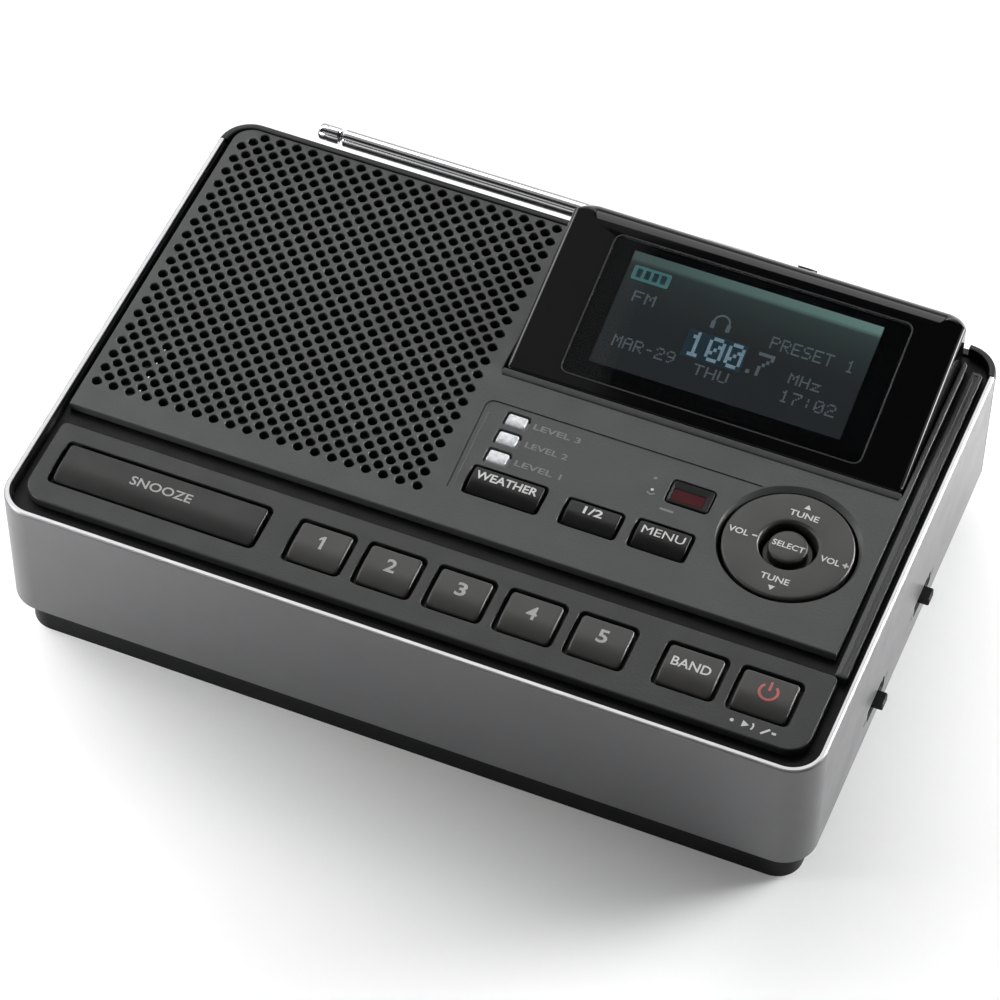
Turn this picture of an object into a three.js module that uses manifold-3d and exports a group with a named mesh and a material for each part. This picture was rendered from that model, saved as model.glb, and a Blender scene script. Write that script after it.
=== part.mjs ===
// Tabletop weather/clock radio, modelled as an assembly of separate pieces.
// Units are millimetres, +Z is up, +X is to the user's right, the front is -Y.
// The origin is the centre of the whole part's footprint, on the surface that
// the feet stand on.
import * as THREE from 'three';
import { mergeVertices } from 'three/addons/utils/BufferGeometryUtils.js';
import Module from 'manifold-3d';

const wasm = await Module();
wasm.setup();

// ---------------------------------------------------------------- dimensions
// Cabinet. Cabinet coordinates are centred on the silver band; the group is
// moved at the end so that the footprint of the whole part is centred.
const BODY_W = 198;            // silver band, left to right
const BODY_D = 131.3;          // front of band to back of rear panel
const HX = BODY_W / 2, HY = BODY_D / 2;
const RIM_Z = 47;              // top of the band's rim
const BAND_Z0 = 11.6;          // lower edge of the band
const CORNER_R = 8.2;
const WALL = 1.7;
const SEAM_Y = 57.8;           // where the band meets the rear panel
const TRAY_Z0 = 1.0;           // underside of the base tray
const TRAY_INSET = 3.2;
const FLOOR_T = 2.2;
// Top deck
const DECK_Z0 = 44.4, DECK_Z1 = 46.6;      // top panel and key panel
const FRAME_Z0 = 41.6, FRAME_Z1 = 44.1;    // black frame under them
const PANEL_X0 = -96, PANEL_X1 = 91.8, PANEL_Y0 = -31.5, PANEL_Y1 = 63.9;
const KEYPANEL_X0 = -94.8, KEYPANEL_X1 = 94.4, KEYPANEL_Y0 = -60, KEYPANEL_Y1 = -37;
// Display hood
const HOOD_X0 = -7.3, HOOD_X1 = 90.1, HOOD_Y0 = 17.0, HOOD_Y1 = 65.4;
const HOOD_Z0 = 45.0, HOOD_FRONT_Z = 46.9, HOOD_SLOPE = 0.275, HOOD_R = 6.5, HOOD_WALL = 2;
const WIN_X0 = 4.7, WIN_X1 = 78.9, WIN_Y0 = 20.1, WIN_Y1 = 57.0;
const LENS_T = 1.4;
// Keys: travel, clearance in the panel hole, height of the caps
const KEY_TRAVEL = 1.0, KEY_GAP = 0.4, KEY_TOP = 46.9;
const KEY_Y0 = -53.8, KEY_Y1 = -42.2;
const PRESET_X = [-25.6, -8.6, 8.5, 25.5, 42.4], PRESET_W = 13.3;
const SNOOZE_X0 = -90.4, SNOOZE_X1 = -39.9;
const BAND_X = 63.6, POWER_X = 81.1, WIDE_KEY_W = 13.8;
// Small keys on the top panel: x0, x1, y0, y1
const WEATHER = [-2.3, 15.3, -20.3, -12.7];
const ALARM = [21.2, 34.2, -20.3, -13.2];
const MENU = [38.0, 51.0, -20.3, -12.7];
// Lamps
const LAMP_X0 = -1.1, LAMP_X1 = 3.9;
const LAMP_Y = [[1.5, 4.8], [-4.3, -0.8], [-10.2, -6.7]];
const STATUS = [41.2, 51.2, -5.4, 1.0];
// Navigation ring
const NAV_X = 71.5, NAV_Y = -7.0, NAV_R = 15.5, NAV_HOLE_R = 16.0, NAV_IN_R = 6.2, SELECT_R = 4.6;
const NAV_PIVOT_Z = 43.0;
// Side slide switches
const SW_Y = [12.5, -19.8], SW_Z = 19.0, SW_SLOT = 11.0, SW_SLOT_H = 3.4, SW_KNOB = 3.4, SW_OUT = 2.3, SW_TRAVEL = 3.2;
// Speaker
const SPK_X = -52, SPK_Y = 18, SPK_R = 38, SPK_TOP = 41.2, SPK_CONE_R = 31;
// Telescopic antenna
const ANT_Y = 68.9, ANT_Z = 47.4, TURRET_X = 48, TURRET_R = 2.9;
const ROD_R = [2.2, 1.65, 1.1, 0.55], ROD_WALL = 0.3;
const ROD_X0 = -70.5, ROD_X1 = 22;
// Battery compartment: four AA cells lying along Y
const CELL_R = 7.0, CELL_L = 50, CELL_PITCH = 14.8, BATT_X = 33, BATT_Y = -2;
const BOX_X = 31.6, BOX_Y = 28.2, BOX_TOP = 18.4;
const DOOR_T = 1.9;
// Feet and screws
const FOOT_R = 5, FOOT_X = 84, FOOT_Y = [-51, 51];
const SCREW_XY = [[-90, -34], [90, -34], [-88, 57.6], [88, 57.6]];

// ---------------------------------------------------------------- materials
const mat = (color, roughness, metalness) => new THREE.MeshStandardMaterial({ color, roughness, metalness });
const SILVER = mat(0xbfc0c2, 0.35, 0.6);
const BLACK = mat(0x101112, 0.45, 0.0);
const GLOSS = mat(0x0a0b0d, 0.12, 0.0);
const DECK = mat(0x4a4c4b, 0.5, 0.1);
const KEYCAP = mat(0x555452, 0.45, 0.1);
const SMOKE = mat(0x15181a, 0.08, 0.0);
const LCD = mat(0x26343a, 0.3, 0.0);
const MILK = mat(0xe8ecec, 0.3, 0.0);
const REDLENS = mat(0x5a0d10, 0.15, 0.0);
const CHROME = mat(0xd8dadc, 0.12, 1.0);
const RUBBER = mat(0x1a1a1a, 0.9, 0.0);
const PCB = mat(0x1f5a33, 0.5, 0.0);
const STEEL = mat(0x9a9ca0, 0.35, 0.9);
const PAPER = mat(0x1c1c1e, 0.85, 0.0);
const FERRITE = mat(0x2c2a29, 0.6, 0.1);
const CELLS = mat(0x2f3338, 0.35, 0.5);

// ------------------------------------------------------------------- helpers
const part = new THREE.Group();
const cabinet = new THREE.Group();
part.add(cabinet);

// A closed three.js geometry as a solid for joining and cutting.
function solid(geo) {
  let g = geo.clone();
  for (const k of Object.keys(g.attributes)) if (k !== 'position') g.deleteAttribute(k);
  g = mergeVertices(g, 1e-5);
  const idx = g.index ? Uint32Array.from(g.index.array) : Uint32Array.from({ length: g.attributes.position.count }, (_, i) => i);
  return new wasm.Manifold(new wasm.Mesh({ numProp: 3, vertProperties: Float32Array.from(g.attributes.position.array), triVerts: idx }));
}
function geometryOf(man) {
  const m = man.getMesh();
  const g = new THREE.BufferGeometry();
  const n = m.numProp, count = m.vertProperties.length / n;
  const pos = new Float32Array(count * 3);
  for (let i = 0; i < count; i++) for (let k = 0; k < 3; k++) pos[i * 3 + k] = m.vertProperties[i * n + k];
  g.setAttribute('position', new THREE.BufferAttribute(pos, 3));
  g.setIndex(new THREE.BufferAttribute(Uint32Array.from(m.triVerts), 1));
  g.computeVertexNormals();
  return g;
}
function join(list) { return list.map(s => (s.getMesh ? s : solid(s))).reduce((a, b) => a.add(b)); }
function cut(a, list) { return [a.getMesh ? a : solid(a), ...list.map(s => (s.getMesh ? s : solid(s)))].reduce((x, y) => x.subtract(y)); }
function piece(name, geo, material, parent = cabinet) {
  const g = geo.getMesh ? geometryOf(geo) : geo;
  const m = new THREE.Mesh(g, material);
  m.name = name;
  parent.add(m);
  return m;
}
function box(x0, x1, y0, y1, z0, z1) {
  const g = new THREE.BoxGeometry(x1 - x0, y1 - y0, z1 - z0);
  g.translate((x0 + x1) / 2, (y0 + y1) / 2, (z0 + z1) / 2);
  return g;
}
function rod(axis, r, a0, a1, u, v, seg = 16) {
  const g = new THREE.CylinderGeometry(r, r, a1 - a0, seg);
  if (axis === 'x') { g.rotateZ(-Math.PI / 2); g.translate((a0 + a1) / 2, u, v); }
  if (axis === 'y') { g.translate(u, (a0 + a1) / 2, v); }
  if (axis === 'z') { g.rotateX(Math.PI / 2); g.translate(u, v, (a0 + a1) / 2); }
  return g;
}
// Rectangle with its own radius at each corner: front-left, front-right, back-right, back-left.
function rect(x0, x1, y0, y1, r = 0, Cls = THREE.Shape) {
  const [a, b, c, d] = Array.isArray(r) ? r : [r, r, r, r];
  const s = new Cls();
  s.moveTo(x0 + a, y0);
  s.lineTo(x1 - b, y0);
  if (b) s.absarc(x1 - b, y0 + b, b, -Math.PI / 2, 0, false);
  s.lineTo(x1, y1 - c);
  if (c) s.absarc(x1 - c, y1 - c, c, 0, Math.PI / 2, false);
  s.lineTo(x0 + d, y1);
  if (d) s.absarc(x0 + d, y1 - d, d, Math.PI / 2, Math.PI, false);
  s.lineTo(x0, y0 + a);
  if (a) s.absarc(x0 + a, y0 + a, a, Math.PI, 1.5 * Math.PI, false);
  s.closePath();
  return s;
}
const hole = (x0, x1, y0, y1, r = 0) => rect(x0, x1, y0, y1, r, THREE.Path);
function circleHole(x, y, r, n = 32) {
  const p = new THREE.Path();
  for (let i = 0; i < n; i++) {
    const a = -2 * Math.PI * i / n, px = x + r * Math.cos(a), py = y + r * Math.sin(a);
    if (i) p.lineTo(px, py); else p.moveTo(px, py);
  }
  p.closePath();
  return p;
}
function plate(shape, z0, z1, holes = [], curveSegments = 4) {
  shape.holes.push(...holes);
  const g = new THREE.ExtrudeGeometry(shape, { depth: z1 - z0, bevelEnabled: false, curveSegments });
  g.translate(0, 0, z0);
  return g;
}
// Profiles run counter-clockwise in the (radius, height) plane, so that faces point outwards.
function ccw(profile) {
  let a = 0;
  for (let i = 0; i < profile.length; i++) {
    const [r0, h0] = profile[i], [r1, h1] = profile[(i + 1) % profile.length];
    a += r0 * h1 - r1 * h0;
  }
  return (a < 0 ? profile.slice().reverse() : profile).map(([r, h]) => new THREE.Vector2(r, h));
}
// Profile of (radius, z) pairs turned about Z.
function turned(profile, x, y, seg = 24) {
  const g = new THREE.LatheGeometry(ccw(profile), seg);
  g.rotateX(Math.PI / 2);
  g.translate(x, y, 0);
  return g;
}
// Profile of (radius, x) pairs turned about the antenna's axis, which lies along X.
function turnedX(profile, y, z, seg = 12) {
  const g = new THREE.LatheGeometry(ccw(profile), seg);
  g.rotateZ(-Math.PI / 2);
  g.translate(0, y, z);
  return g;
}

// -------------------------------------------------------------- the cabinet
// Silver band: left, front and right walls in one U, open to the rear panel.
{
  const outer = rect(-HX, HX, -HY, SEAM_Y + 20, CORNER_R);
  const inner = hole(-HX + WALL, HX - WALL, -HY + WALL, SEAM_Y + 18, CORNER_R - WALL);
  let s = solid(plate(outer, BAND_Z0, RIM_Z, [inner], 5));
  s = s.subtract(solid(box(-HX - 1, HX + 1, SEAM_Y, SEAM_Y + 30, 0, 60)));
  // slots for the two slide switches in the right wall
  for (const y of SW_Y) s = s.subtract(solid(box(HX - 4, HX + 1, y - SW_SLOT / 2, y + SW_SLOT / 2, SW_Z - SW_SLOT_H / 2, SW_Z + SW_SLOT_H / 2)));
  piece('housing_band', s, SILVER);
}
// Rear panel: black, closes the U of the band and carries the sockets and the antenna.
const JACK_DC = [-62, 20], JACK_PHONES = [-38, 20];
{
  const outer = rect(-HX, HX, SEAM_Y - 20, HY, CORNER_R);
  const inner = hole(-HX + WALL, HX - WALL, SEAM_Y - 18, HY - WALL, CORNER_R - WALL);
  let s = solid(plate(outer, BAND_Z0, RIM_Z, [inner], 5));
  s = s.subtract(solid(box(-HX - 1, HX + 1, SEAM_Y - 30, SEAM_Y + 0.3, 0, 60)));
  // the hood's rear wall drops into this notch
  s = s.subtract(solid(box(HOOD_X0 - 0.4, HOOD_X1 + 0.4, HY - 6, HY + 1, HOOD_Z0 - 0.3, 60)));
  // shelf that the antenna's turret turns on
  s = s.add(solid(box(TURRET_X - 5, TURRET_X + 5, HY - 0.5, ANT_Y + 3.1, 35, 42)));
  s = s.subtract(solid(rod('z', 1.6, 30, 50, TURRET_X, ANT_Y, 16)));
  s = s.subtract(solid(rod('y', 4.3, HY - 6, HY + 1, JACK_DC[0], JACK_DC[1], 20)));
  s = s.subtract(solid(rod('y', 3.3, HY - 6, HY + 1, JACK_PHONES[0], JACK_PHONES[1], 20)));
  piece('rear_panel', s, BLACK);
}
// Base tray: floor, low walls, battery box, screw bosses and pockets for the feet.
{
  const x = HX - TRAY_INSET, y0 = -HY + TRAY_INSET, y1 = HY - TRAY_INSET + 0.6;
  const r = CORNER_R - 2;
  let s = solid(plate(rect(-x, x, y0, y1, r), TRAY_Z0, TRAY_Z0 + FLOOR_T, [], 5));
  const wall = plate(rect(-x, x, y0, y1, r), TRAY_Z0 + 0.5, 14.0, [hole(-x + 2.2, x - 2.2, y0 + 2.2, y1 - 2.2, r - 2.2)], 5);
  s = s.add(solid(wall));
  // battery box, open downwards
  const bx0 = BATT_X - BOX_X, bx1 = BATT_X + BOX_X, by0 = BATT_Y - BOX_Y, by1 = BATT_Y + BOX_Y;
  s = s.add(solid(box(bx0 - 1.6, bx1 + 1.6, by0 - 1.6, by1 + 1.6, TRAY_Z0 + 0.5, BOX_TOP + 1.6)));
  s = s.subtract(solid(box(bx0, bx1, by0, by1, 0, BOX_TOP)));
  for (const [sx, sy] of SCREW_XY) {
    s = s.add(solid(rod('z', 4.2, TRAY_Z0 + 0.5, 13, sx, sy, 12)));
    s = s.subtract(solid(rod('z', 3.4, 0, 6, sx, sy, 12)));
    s = s.subtract(solid(rod('z', 1.8, 0, 20, sx, sy, 12)));
  }
  for (const fx of [-FOOT_X + 12, FOOT_X - 12]) for (const fy of FOOT_Y) s = s.subtract(solid(rod('z', FOOT_R + 0.4, 0, TRAY_Z0 + 0.9, fx, fy, 24)));
  piece('base_tray', s, BLACK);
}
{
  let i = 1;
  for (const fx of [-FOOT_X + 12, FOOT_X - 12]) for (const fy of FOOT_Y) {
    piece(`foot_${i++}`, turned([[0, 0], [FOOT_R - 0.6, 0], [FOOT_R, 0.5], [FOOT_R, TRAY_Z0 + 0.6], [0, TRAY_Z0 + 0.6]], fx, fy, 20), RUBBER);
  }
  i = 1;
  for (const [sx, sy] of SCREW_XY) {
    piece(`case_screw_${i++}`, turned([[0, 4.2], [2.9, 4.2], [2.9, 5.7], [1.4, 5.7], [1.4, 26], [0, 26.8]], sx, sy, 12), STEEL);
  }
}
// Battery door: flat cover under the box, hinged on two tabs at its left edge.
{
  const bx0 = BATT_X - BOX_X, bx1 = BATT_X + BOX_X, by0 = BATT_Y - BOX_Y, by1 = BATT_Y + BOX_Y;
  let s = solid(plate(rect(bx0 + 0.4, bx1 - 0.4, by0 + 0.4, by1 - 0.4, 1), TRAY_Z0, TRAY_Z0 + DOOR_T, [], 2));
  // finger notch and its latch tongue on the right edge
  s = s.subtract(solid(rod('z', 6, 0, TRAY_Z0 + 0.8, bx1 - 4, BATT_Y, 20)));
  piece('battery_door', s, BLACK);
  for (let i = 0; i < 4; i++) {
    const cx = BATT_X + (i - 1.5) * CELL_PITCH, dir = i % 2 ? 1 : -1;
    const z = TRAY_Z0 + DOOR_T + 0.4 + CELL_R;
    const g = new THREE.LatheGeometry([[0, -CELL_L / 2 + 0.5], [CELL_R - 0.4, -CELL_L / 2 + 0.5], [CELL_R, -CELL_L / 2 + 0.9], [CELL_R, CELL_L / 2 - 2.2], [CELL_R - 0.6, CELL_L / 2 - 1.6], [2.7, CELL_L / 2 - 1.6], [2.7, CELL_L / 2], [0, CELL_L / 2]].map(p => new THREE.Vector2(...p)), 16);
    if (dir < 0) g.rotateX(Math.PI);
    g.translate(cx, BATT_Y, z);
    piece(`battery_cell_${i + 1}`, g, CELLS);
  }
}
// Black frame inside the rim: carries both deck panels, its cross bar is the floor
// of the dark channel between them, and it stands up as a strip at the right.
{
  const x = HX - WALL - 0.3, y0 = -HY + WALL + 0.3, y1 = HY - WALL - 0.3;
  const r = CORNER_R - WALL - 0.3;
  let s = solid(plate(rect(-x, x, y0, y1, r), FRAME_Z0, FRAME_Z1, [
    hole(-92.5, 92.5, -57.5, -39.5, 2), hole(-93.3, 88.8, -28.5, 55.5, 2),
  ], 5));
  s = s.add(solid(box(93.3, 96.1, -36.6, 58, FRAME_Z1 - 0.5, 46.3)));
  // ring of bosses that the case screws run up into
  for (const [sx, sy] of SCREW_XY) {
    let b = solid(rod('z', 4.2, 14.4, FRAME_Z0 + 0.6, sx, sy, 12));
    s = s.add(b).subtract(solid(rod('z', 1.75, 0, 29, sx, sy, 12)));
  }
  piece('bezel_frame', s, BLACK);
}
// Top panel with its speaker perforations and openings.
{
  const shape = new THREE.Shape();
  const hx = HOOD_X0 - 0.4, hy = HOOD_Y0 - 0.4, hx1 = HOOD_X1 + 0.4;
  shape.moveTo(PANEL_X0, PANEL_Y0);
  shape.lineTo(PANEL_X1, PANEL_Y0);
  shape.lineTo(PANEL_X1, PANEL_Y1 - 5);
  shape.absarc(PANEL_X1 - 1.2, PANEL_Y1 - 5, 1.2, 0, Math.PI / 2, false);
  shape.lineTo(hx1, PANEL_Y1 - 3.8);
  shape.lineTo(hx1, hy);
  shape.lineTo(hx, hy);
  shape.lineTo(hx, PANEL_Y1);
  shape.lineTo(PANEL_X0 + 5, PANEL_Y1);
  shape.absarc(PANEL_X0 + 5, PANEL_Y1 - 5, 5, Math.PI / 2, Math.PI, false);
  shape.closePath();
  const holes = [];
  const g = KEY_GAP;
  const windows = [WEATHER, ALARM, MENU, STATUS, ...LAMP_Y.map(([y0, y1]) => [LAMP_X0, LAMP_X1, y0, y1])]
    .map(([x0, x1, y0, y1]) => box(x0 - g, x1 + g, y0 - g, y1 + g, DECK_Z0 - 1, DECK_Z1 + 1));
  holes.push(circleHole(NAV_X, NAV_Y, NAV_HOLE_R, 40));
  // perforations over the speaker: square holes turned by 45 degrees, every third one of the real lattice
  for (let i = 0; i <= 6; i++) for (let j = 0; j <= 6; j++) {
    const px = -90 + i * 12.6, py = -19 + j * 13.2;
    const p = new THREE.Path();
    p.moveTo(px + 1.5, py); p.lineTo(px, py - 1.5); p.lineTo(px - 1.5, py); p.lineTo(px, py + 1.5); p.closePath();
    holes.push(p);
  }
  piece('top_panel', cut(plate(shape, DECK_Z0, DECK_Z1, holes, 6), windows), DECK);
}
// Front key panel.
{
  const g = KEY_GAP;
  const cutters = [[SNOOZE_X0, SNOOZE_X1], ...PRESET_X.map(x => [x - PRESET_W / 2, x + PRESET_W / 2]), ...[BAND_X, POWER_X].map(x => [x - WIDE_KEY_W / 2, x + WIDE_KEY_W / 2])]
    .map(([x0, x1]) => box(x0 - g, x1 + g, KEY_Y0 - g, KEY_Y1 + g, DECK_Z0 - 1, DECK_Z1 + 1));
  piece('front_key_panel', cut(plate(rect(KEYPANEL_X0, KEYPANEL_X1, KEYPANEL_Y0, KEYPANEL_Y1, [5.5, 5.5, 1.5, 1.5]), DECK_Z0, DECK_Z1, [], 3), cutters), DECK);
}

// -------------------------------------------------------------------- keys
// A cap whose top falls towards the user, on a retaining flange and a plunger.
const MAT_TOP = 39.0;      // top of the rubber mat's domes
function key(name, x0, x1, y0, y1, top, flange, dip) {
  const pts = [[y0, DECK_Z0 - 0.4], [y1, DECK_Z0 - 0.4], [y1, top - 0.3], [y1 - 0.3, top], [y0 + (y1 - y0) * 0.34, top - 0.1], [y0 + 0.9, top - dip], [y0, top - dip - 0.4]];
  const s = new THREE.Shape(pts.map(p => new THREE.Vector2(...p)));
  const cap = new THREE.ExtrudeGeometry(s, { depth: x1 - x0, bevelEnabled: false });
  cap.rotateY(Math.PI / 2); cap.rotateX(Math.PI / 2); // profile (y, z), run along x
  cap.translate(x0, 0, 0);
  const f = box(x0 - flange, x1 + flange, y0 - flange, y1 + flange, 42.3, DECK_Z0 - 0.3);
  const stem = rod('z', 1.8, MAT_TOP + KEY_TRAVEL + 0.3, 42.6, (x0 + x1) / 2, (y0 + y1) / 2, 12);
  piece(name, join([cap, f, stem]), KEYCAP);
}
key('snooze_bar', SNOOZE_X0, SNOOZE_X1, KEY_Y0, KEY_Y1, KEY_TOP + 0.2, 1.0, 0.9);
PRESET_X.forEach((x, i) => key(`preset_key_${i + 1}`, x - PRESET_W / 2, x + PRESET_W / 2, KEY_Y0, KEY_Y1, KEY_TOP, 0.9, 0.9));
key('band_key', BAND_X - WIDE_KEY_W / 2, BAND_X + WIDE_KEY_W / 2, KEY_Y0, KEY_Y1, KEY_TOP, 0.9, 0.9);
key('power_key', POWER_X - WIDE_KEY_W / 2, POWER_X + WIDE_KEY_W / 2, KEY_Y0, KEY_Y1, KEY_TOP, 0.9, 0.9);
key('weather_key', ...WEATHER, KEY_TOP + 0.3, 0.9, 0.6);
key('alarm_key', ...ALARM, KEY_TOP + 0.2, 0.9, 0.6);
key('menu_key', ...MENU, KEY_TOP + 0.2, 0.9, 0.6);

// Navigation ring on its two-axis pivot collar, with the select key in the middle.
piece('nav_ring', turned([[NAV_IN_R + 0.3, 43.4], [NAV_R - 1.0, 43.4], [NAV_R, 44.6], [NAV_R, 46.7], [NAV_R - 0.5, 47.1], [NAV_R - 4, 47.3], [NAV_IN_R + 1.2, 46.9], [NAV_IN_R + 0.3, 46.2], [NAV_IN_R + 0.3, 43.4]], NAV_X, NAV_Y, 32), KEYCAP);
piece('nav_gimbal', turned([[NAV_IN_R + 0.6, 41.2], [NAV_R - 3, 41.2], [NAV_R - 3, 42.4], [NAV_IN_R + 1.8, 42.8], [NAV_IN_R + 0.6, 42.8], [NAV_IN_R + 0.6, 41.2]], NAV_X, NAV_Y, 24), BLACK);
piece('select_key', turned([[0, MAT_TOP + KEY_TRAVEL + 0.3], [1.8, MAT_TOP + KEY_TRAVEL + 0.3], [1.8, 42.6], [SELECT_R + 1.0, 42.6], [SELECT_R + 1.0, 43.8], [SELECT_R, 43.8], [SELECT_R, 46.2], [SELECT_R - 0.5, 46.7], [0, 46.9]], NAV_X, NAV_Y, 24), KEYCAP);

// Lamp lenses and the red status window, each a stepped light pipe.
const lens = (name, x0, x1, y0, y1, top, material) => piece(name, join([box(x0, x1, y0, y1, 43.2, top), box(x0 - 0.8, x1 + 0.8, y0 - 0.8, y1 + 0.8, 42.2, DECK_Z0 - 0.3)]), material);
['warning', 'watch', 'advisory'].forEach((n, i) => lens(`alert_lens_${n}`, LAMP_X0, LAMP_X1, LAMP_Y[i][0], LAMP_Y[i][1], 46.8, MILK));
lens('status_window', ...STATUS, 46.7, REDLENS);

// ------------------------------------------------------------ display hood
function hoodProfile(inset, z0, frontLift = 0) {
  // (y, z) outline of the wedge, drawn in by inset
  const ang = Math.atan(HOOD_SLOPE), yr = HOOD_Y1 - HOOD_R, r = HOOD_R - inset;
  const topAt = y => HOOD_FRONT_Z + HOOD_SLOPE * (y - HOOD_Y0) - inset / Math.cos(ang);
  const zc = HOOD_FRONT_Z + HOOD_SLOPE * (yr - HOOD_R * Math.sin(ang) - HOOD_Y0) - HOOD_R * Math.cos(ang);
  const yFront = HOOD_Y0 + inset + frontLift;
  const pts = [[yFront, z0], [yFront, topAt(yFront)]];
  for (let i = 0; i <= 6; i++) {
    const a = Math.PI / 2 + ang - (Math.PI / 2 + ang) * i / 6;
    pts.push([yr + r * Math.cos(a), zc + r * Math.sin(a)]);
  }
  pts.push([HOOD_Y1 - inset, z0]);
  return pts.map(p => new THREE.Vector2(...p));
}
function alongX(pts, x0, x1) {
  const g = new THREE.ExtrudeGeometry(new THREE.Shape(pts), { depth: x1 - x0, bevelEnabled: false });
  g.rotateY(Math.PI / 2); g.rotateX(Math.PI / 2);
  g.translate(x0, 0, 0);
  return g;
}
// slanted slab parallel to the hood's face, from depth d0 to depth d1 below it
function slab(x0, x1, y0, y1, d0, d1) {
  const top = y => HOOD_FRONT_Z + HOOD_SLOPE * (y - HOOD_Y0);
  return alongX([[y0, top(y0) - d1], [y1, top(y1) - d1], [y1, top(y1) - d0], [y0, top(y0) - d0]].map(p => new THREE.Vector2(...p)), x0, x1);
}
{
  let s = solid(alongX(hoodProfile(0, HOOD_Z0), HOOD_X0, HOOD_X1));
  s = s.subtract(solid(alongX(hoodProfile(HOOD_WALL, HOOD_Z0 - 5, 9), HOOD_X0 + HOOD_WALL, HOOD_X1 - HOOD_WALL)));
  s = s.subtract(solid(slab(WIN_X0, WIN_X1, WIN_Y0, WIN_Y1, -2, LENS_T + 0.3)));
  s = s.subtract(solid(slab(WIN_X0 + 2.5, WIN_X1 - 2.5, WIN_Y0 + 9, WIN_Y1 - 1.6, 0, 6)));
  piece('display_hood', s, GLOSS);
}
piece('display_lens', slab(WIN_X0 + 0.3, WIN_X1 - 0.3, WIN_Y0 + 0.3, WIN_Y1 - 0.3, 0, LENS_T), SMOKE);
piece('lcd_module', slab(WIN_X0 + 3.5, WIN_X1 - 3.5, WIN_Y0 + 11, WIN_Y1 - 2.4, LENS_T + 1.2, LENS_T + 4.2), LCD);

// ------------------------------------------------------------ slide switches
SW_Y.forEach((y, i) => {
  const n = i ? 'front' : 'rear';
  const knob = join([
    box(HX - WALL - 1.6, HX + SW_OUT, y - SW_KNOB / 2, y + SW_KNOB / 2, SW_Z - 1.2, SW_Z + 1.2),
    box(HX - WALL - 1.6, HX - WALL - 0.4, y - 9.5, y + 9.5, SW_Z - 2.4, SW_Z + 2.4),
    box(HX - WALL - 4.4, HX - WALL - 1.4, y - 1.2, y + 1.2, SW_Z - 1.2, SW_Z + 1.2),
  ]);
  piece(`side_switch_knob_${n}`, knob, BLACK);
  // metal case of the switch, with the slot that the knob's tail slides in
  const c = cut(box(HX - WALL - 8.0, HX - WALL - 2.2, y - 7, y + 7, SW_Z - 3.2, SW_Z + 3.2), [box(HX - WALL - 5.0, HX - WALL, y - 5.2, y + 5.2, SW_Z - 1.6, SW_Z + 1.6)]);
  piece(`side_switch_case_${n}`, c, STEEL);
});

// ------------------------------------------------------------------ speaker
{
  // basket: rim, conical wall and the seat for the magnet
  const t = SPK_TOP;
  piece('speaker_frame', turned([
    [5.6, 22.6], [13.8, 22.6], [34.4, 38.0], [34.4, t - 1.6], [SPK_R, t - 1.6], [SPK_R, t], [33, t], [33, 38.0], [13, 23.9], [5.6, 23.9], [5.6, 22.6],
  ], SPK_X, SPK_Y, 24), STEEL);
  // paper cone with its surround, dust cap and voice coil
  piece('speaker_cone', turned([
    [0, 30.8], [4.55, 30.2], [4.55, 20.0], [5.2, 20.0], [5.2, 28.0], [9.6, 28.4], [SPK_CONE_R - 2, 39.4], [SPK_CONE_R + 0.4, 39.9],
    [SPK_CONE_R + 0.4, 40.7], [SPK_CONE_R - 2.4, 40.4], [9.4, 29.6], [7, 31.2], [0, 32.0],
  ], SPK_X, SPK_Y, 24), PAPER);
  piece('speaker_magnet', turned([[0, 12.6], [20, 12.6], [20, 22.3], [5.9, 22.3], [5.9, 18], [3.9, 18], [3.9, 22.3], [0, 22.3]], SPK_X, SPK_Y, 24), STEEL);
}

// ------------------------------------------------------------------- boards
piece('main_board', plate(rect(-8, 84, -34, 52, 1), 24.6, 26.2, [], 2), PCB);
{
  // key board under the front keys and the controls beside the nav ring
  const s = new THREE.Shape();
  [[-91, -56], [91, -56], [91, -40], [85.4, -40], [85.4, 10], [-9, 10], [-9, -27], [-84, -27], [-84, -40], [-91, -40]]
    .forEach(([x, y], i) => (i ? s.lineTo(x, y) : s.moveTo(x, y)));
  s.closePath();
  piece('key_board', plate(s, 34.4, 36.0), PCB);
}
{
  // rubber mat with one dome under each key and four under the nav ring
  const s = new THREE.Shape();
  [[-90, -55], [90, -55], [90, -41], [85, -41], [85, 9], [-8, 9], [-8, -36], [-82, -36], [-82, -41], [-90, -41]]
    .forEach(([x, y], i) => (i ? s.lineTo(x, y) : s.moveTo(x, y)));
  s.closePath();
  let m = solid(plate(s, 36.3, 37.3, [], 2));
  const dome = (x, y, r = 2.6) => { m = m.add(solid(turned([[0, 37.0], [r, 37.0], [r - 0.7, MAT_TOP], [0, MAT_TOP]], x, y, 8))); };
  const mid = ([x0, x1, y0, y1]) => [(x0 + x1) / 2, (y0 + y1) / 2];
  const ky = (KEY_Y0 + KEY_Y1) / 2;
  dome((SNOOZE_X0 + SNOOZE_X1) / 2, ky);
  for (const x of PRESET_X) dome(x, ky);
  dome(BAND_X, ky);
  dome(80.9, ky);
  dome(...mid(WEATHER)); dome(...mid(ALARM)); dome(...mid(MENU)); dome(NAV_X, NAV_Y);
  for (const [a, b] of [[1, 0], [-1, 0], [0, 1], [0, -1]]) dome(NAV_X + a * 11, NAV_Y + b * 11, 2.2);
  piece('key_mat', m, RUBBER);
}
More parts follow.
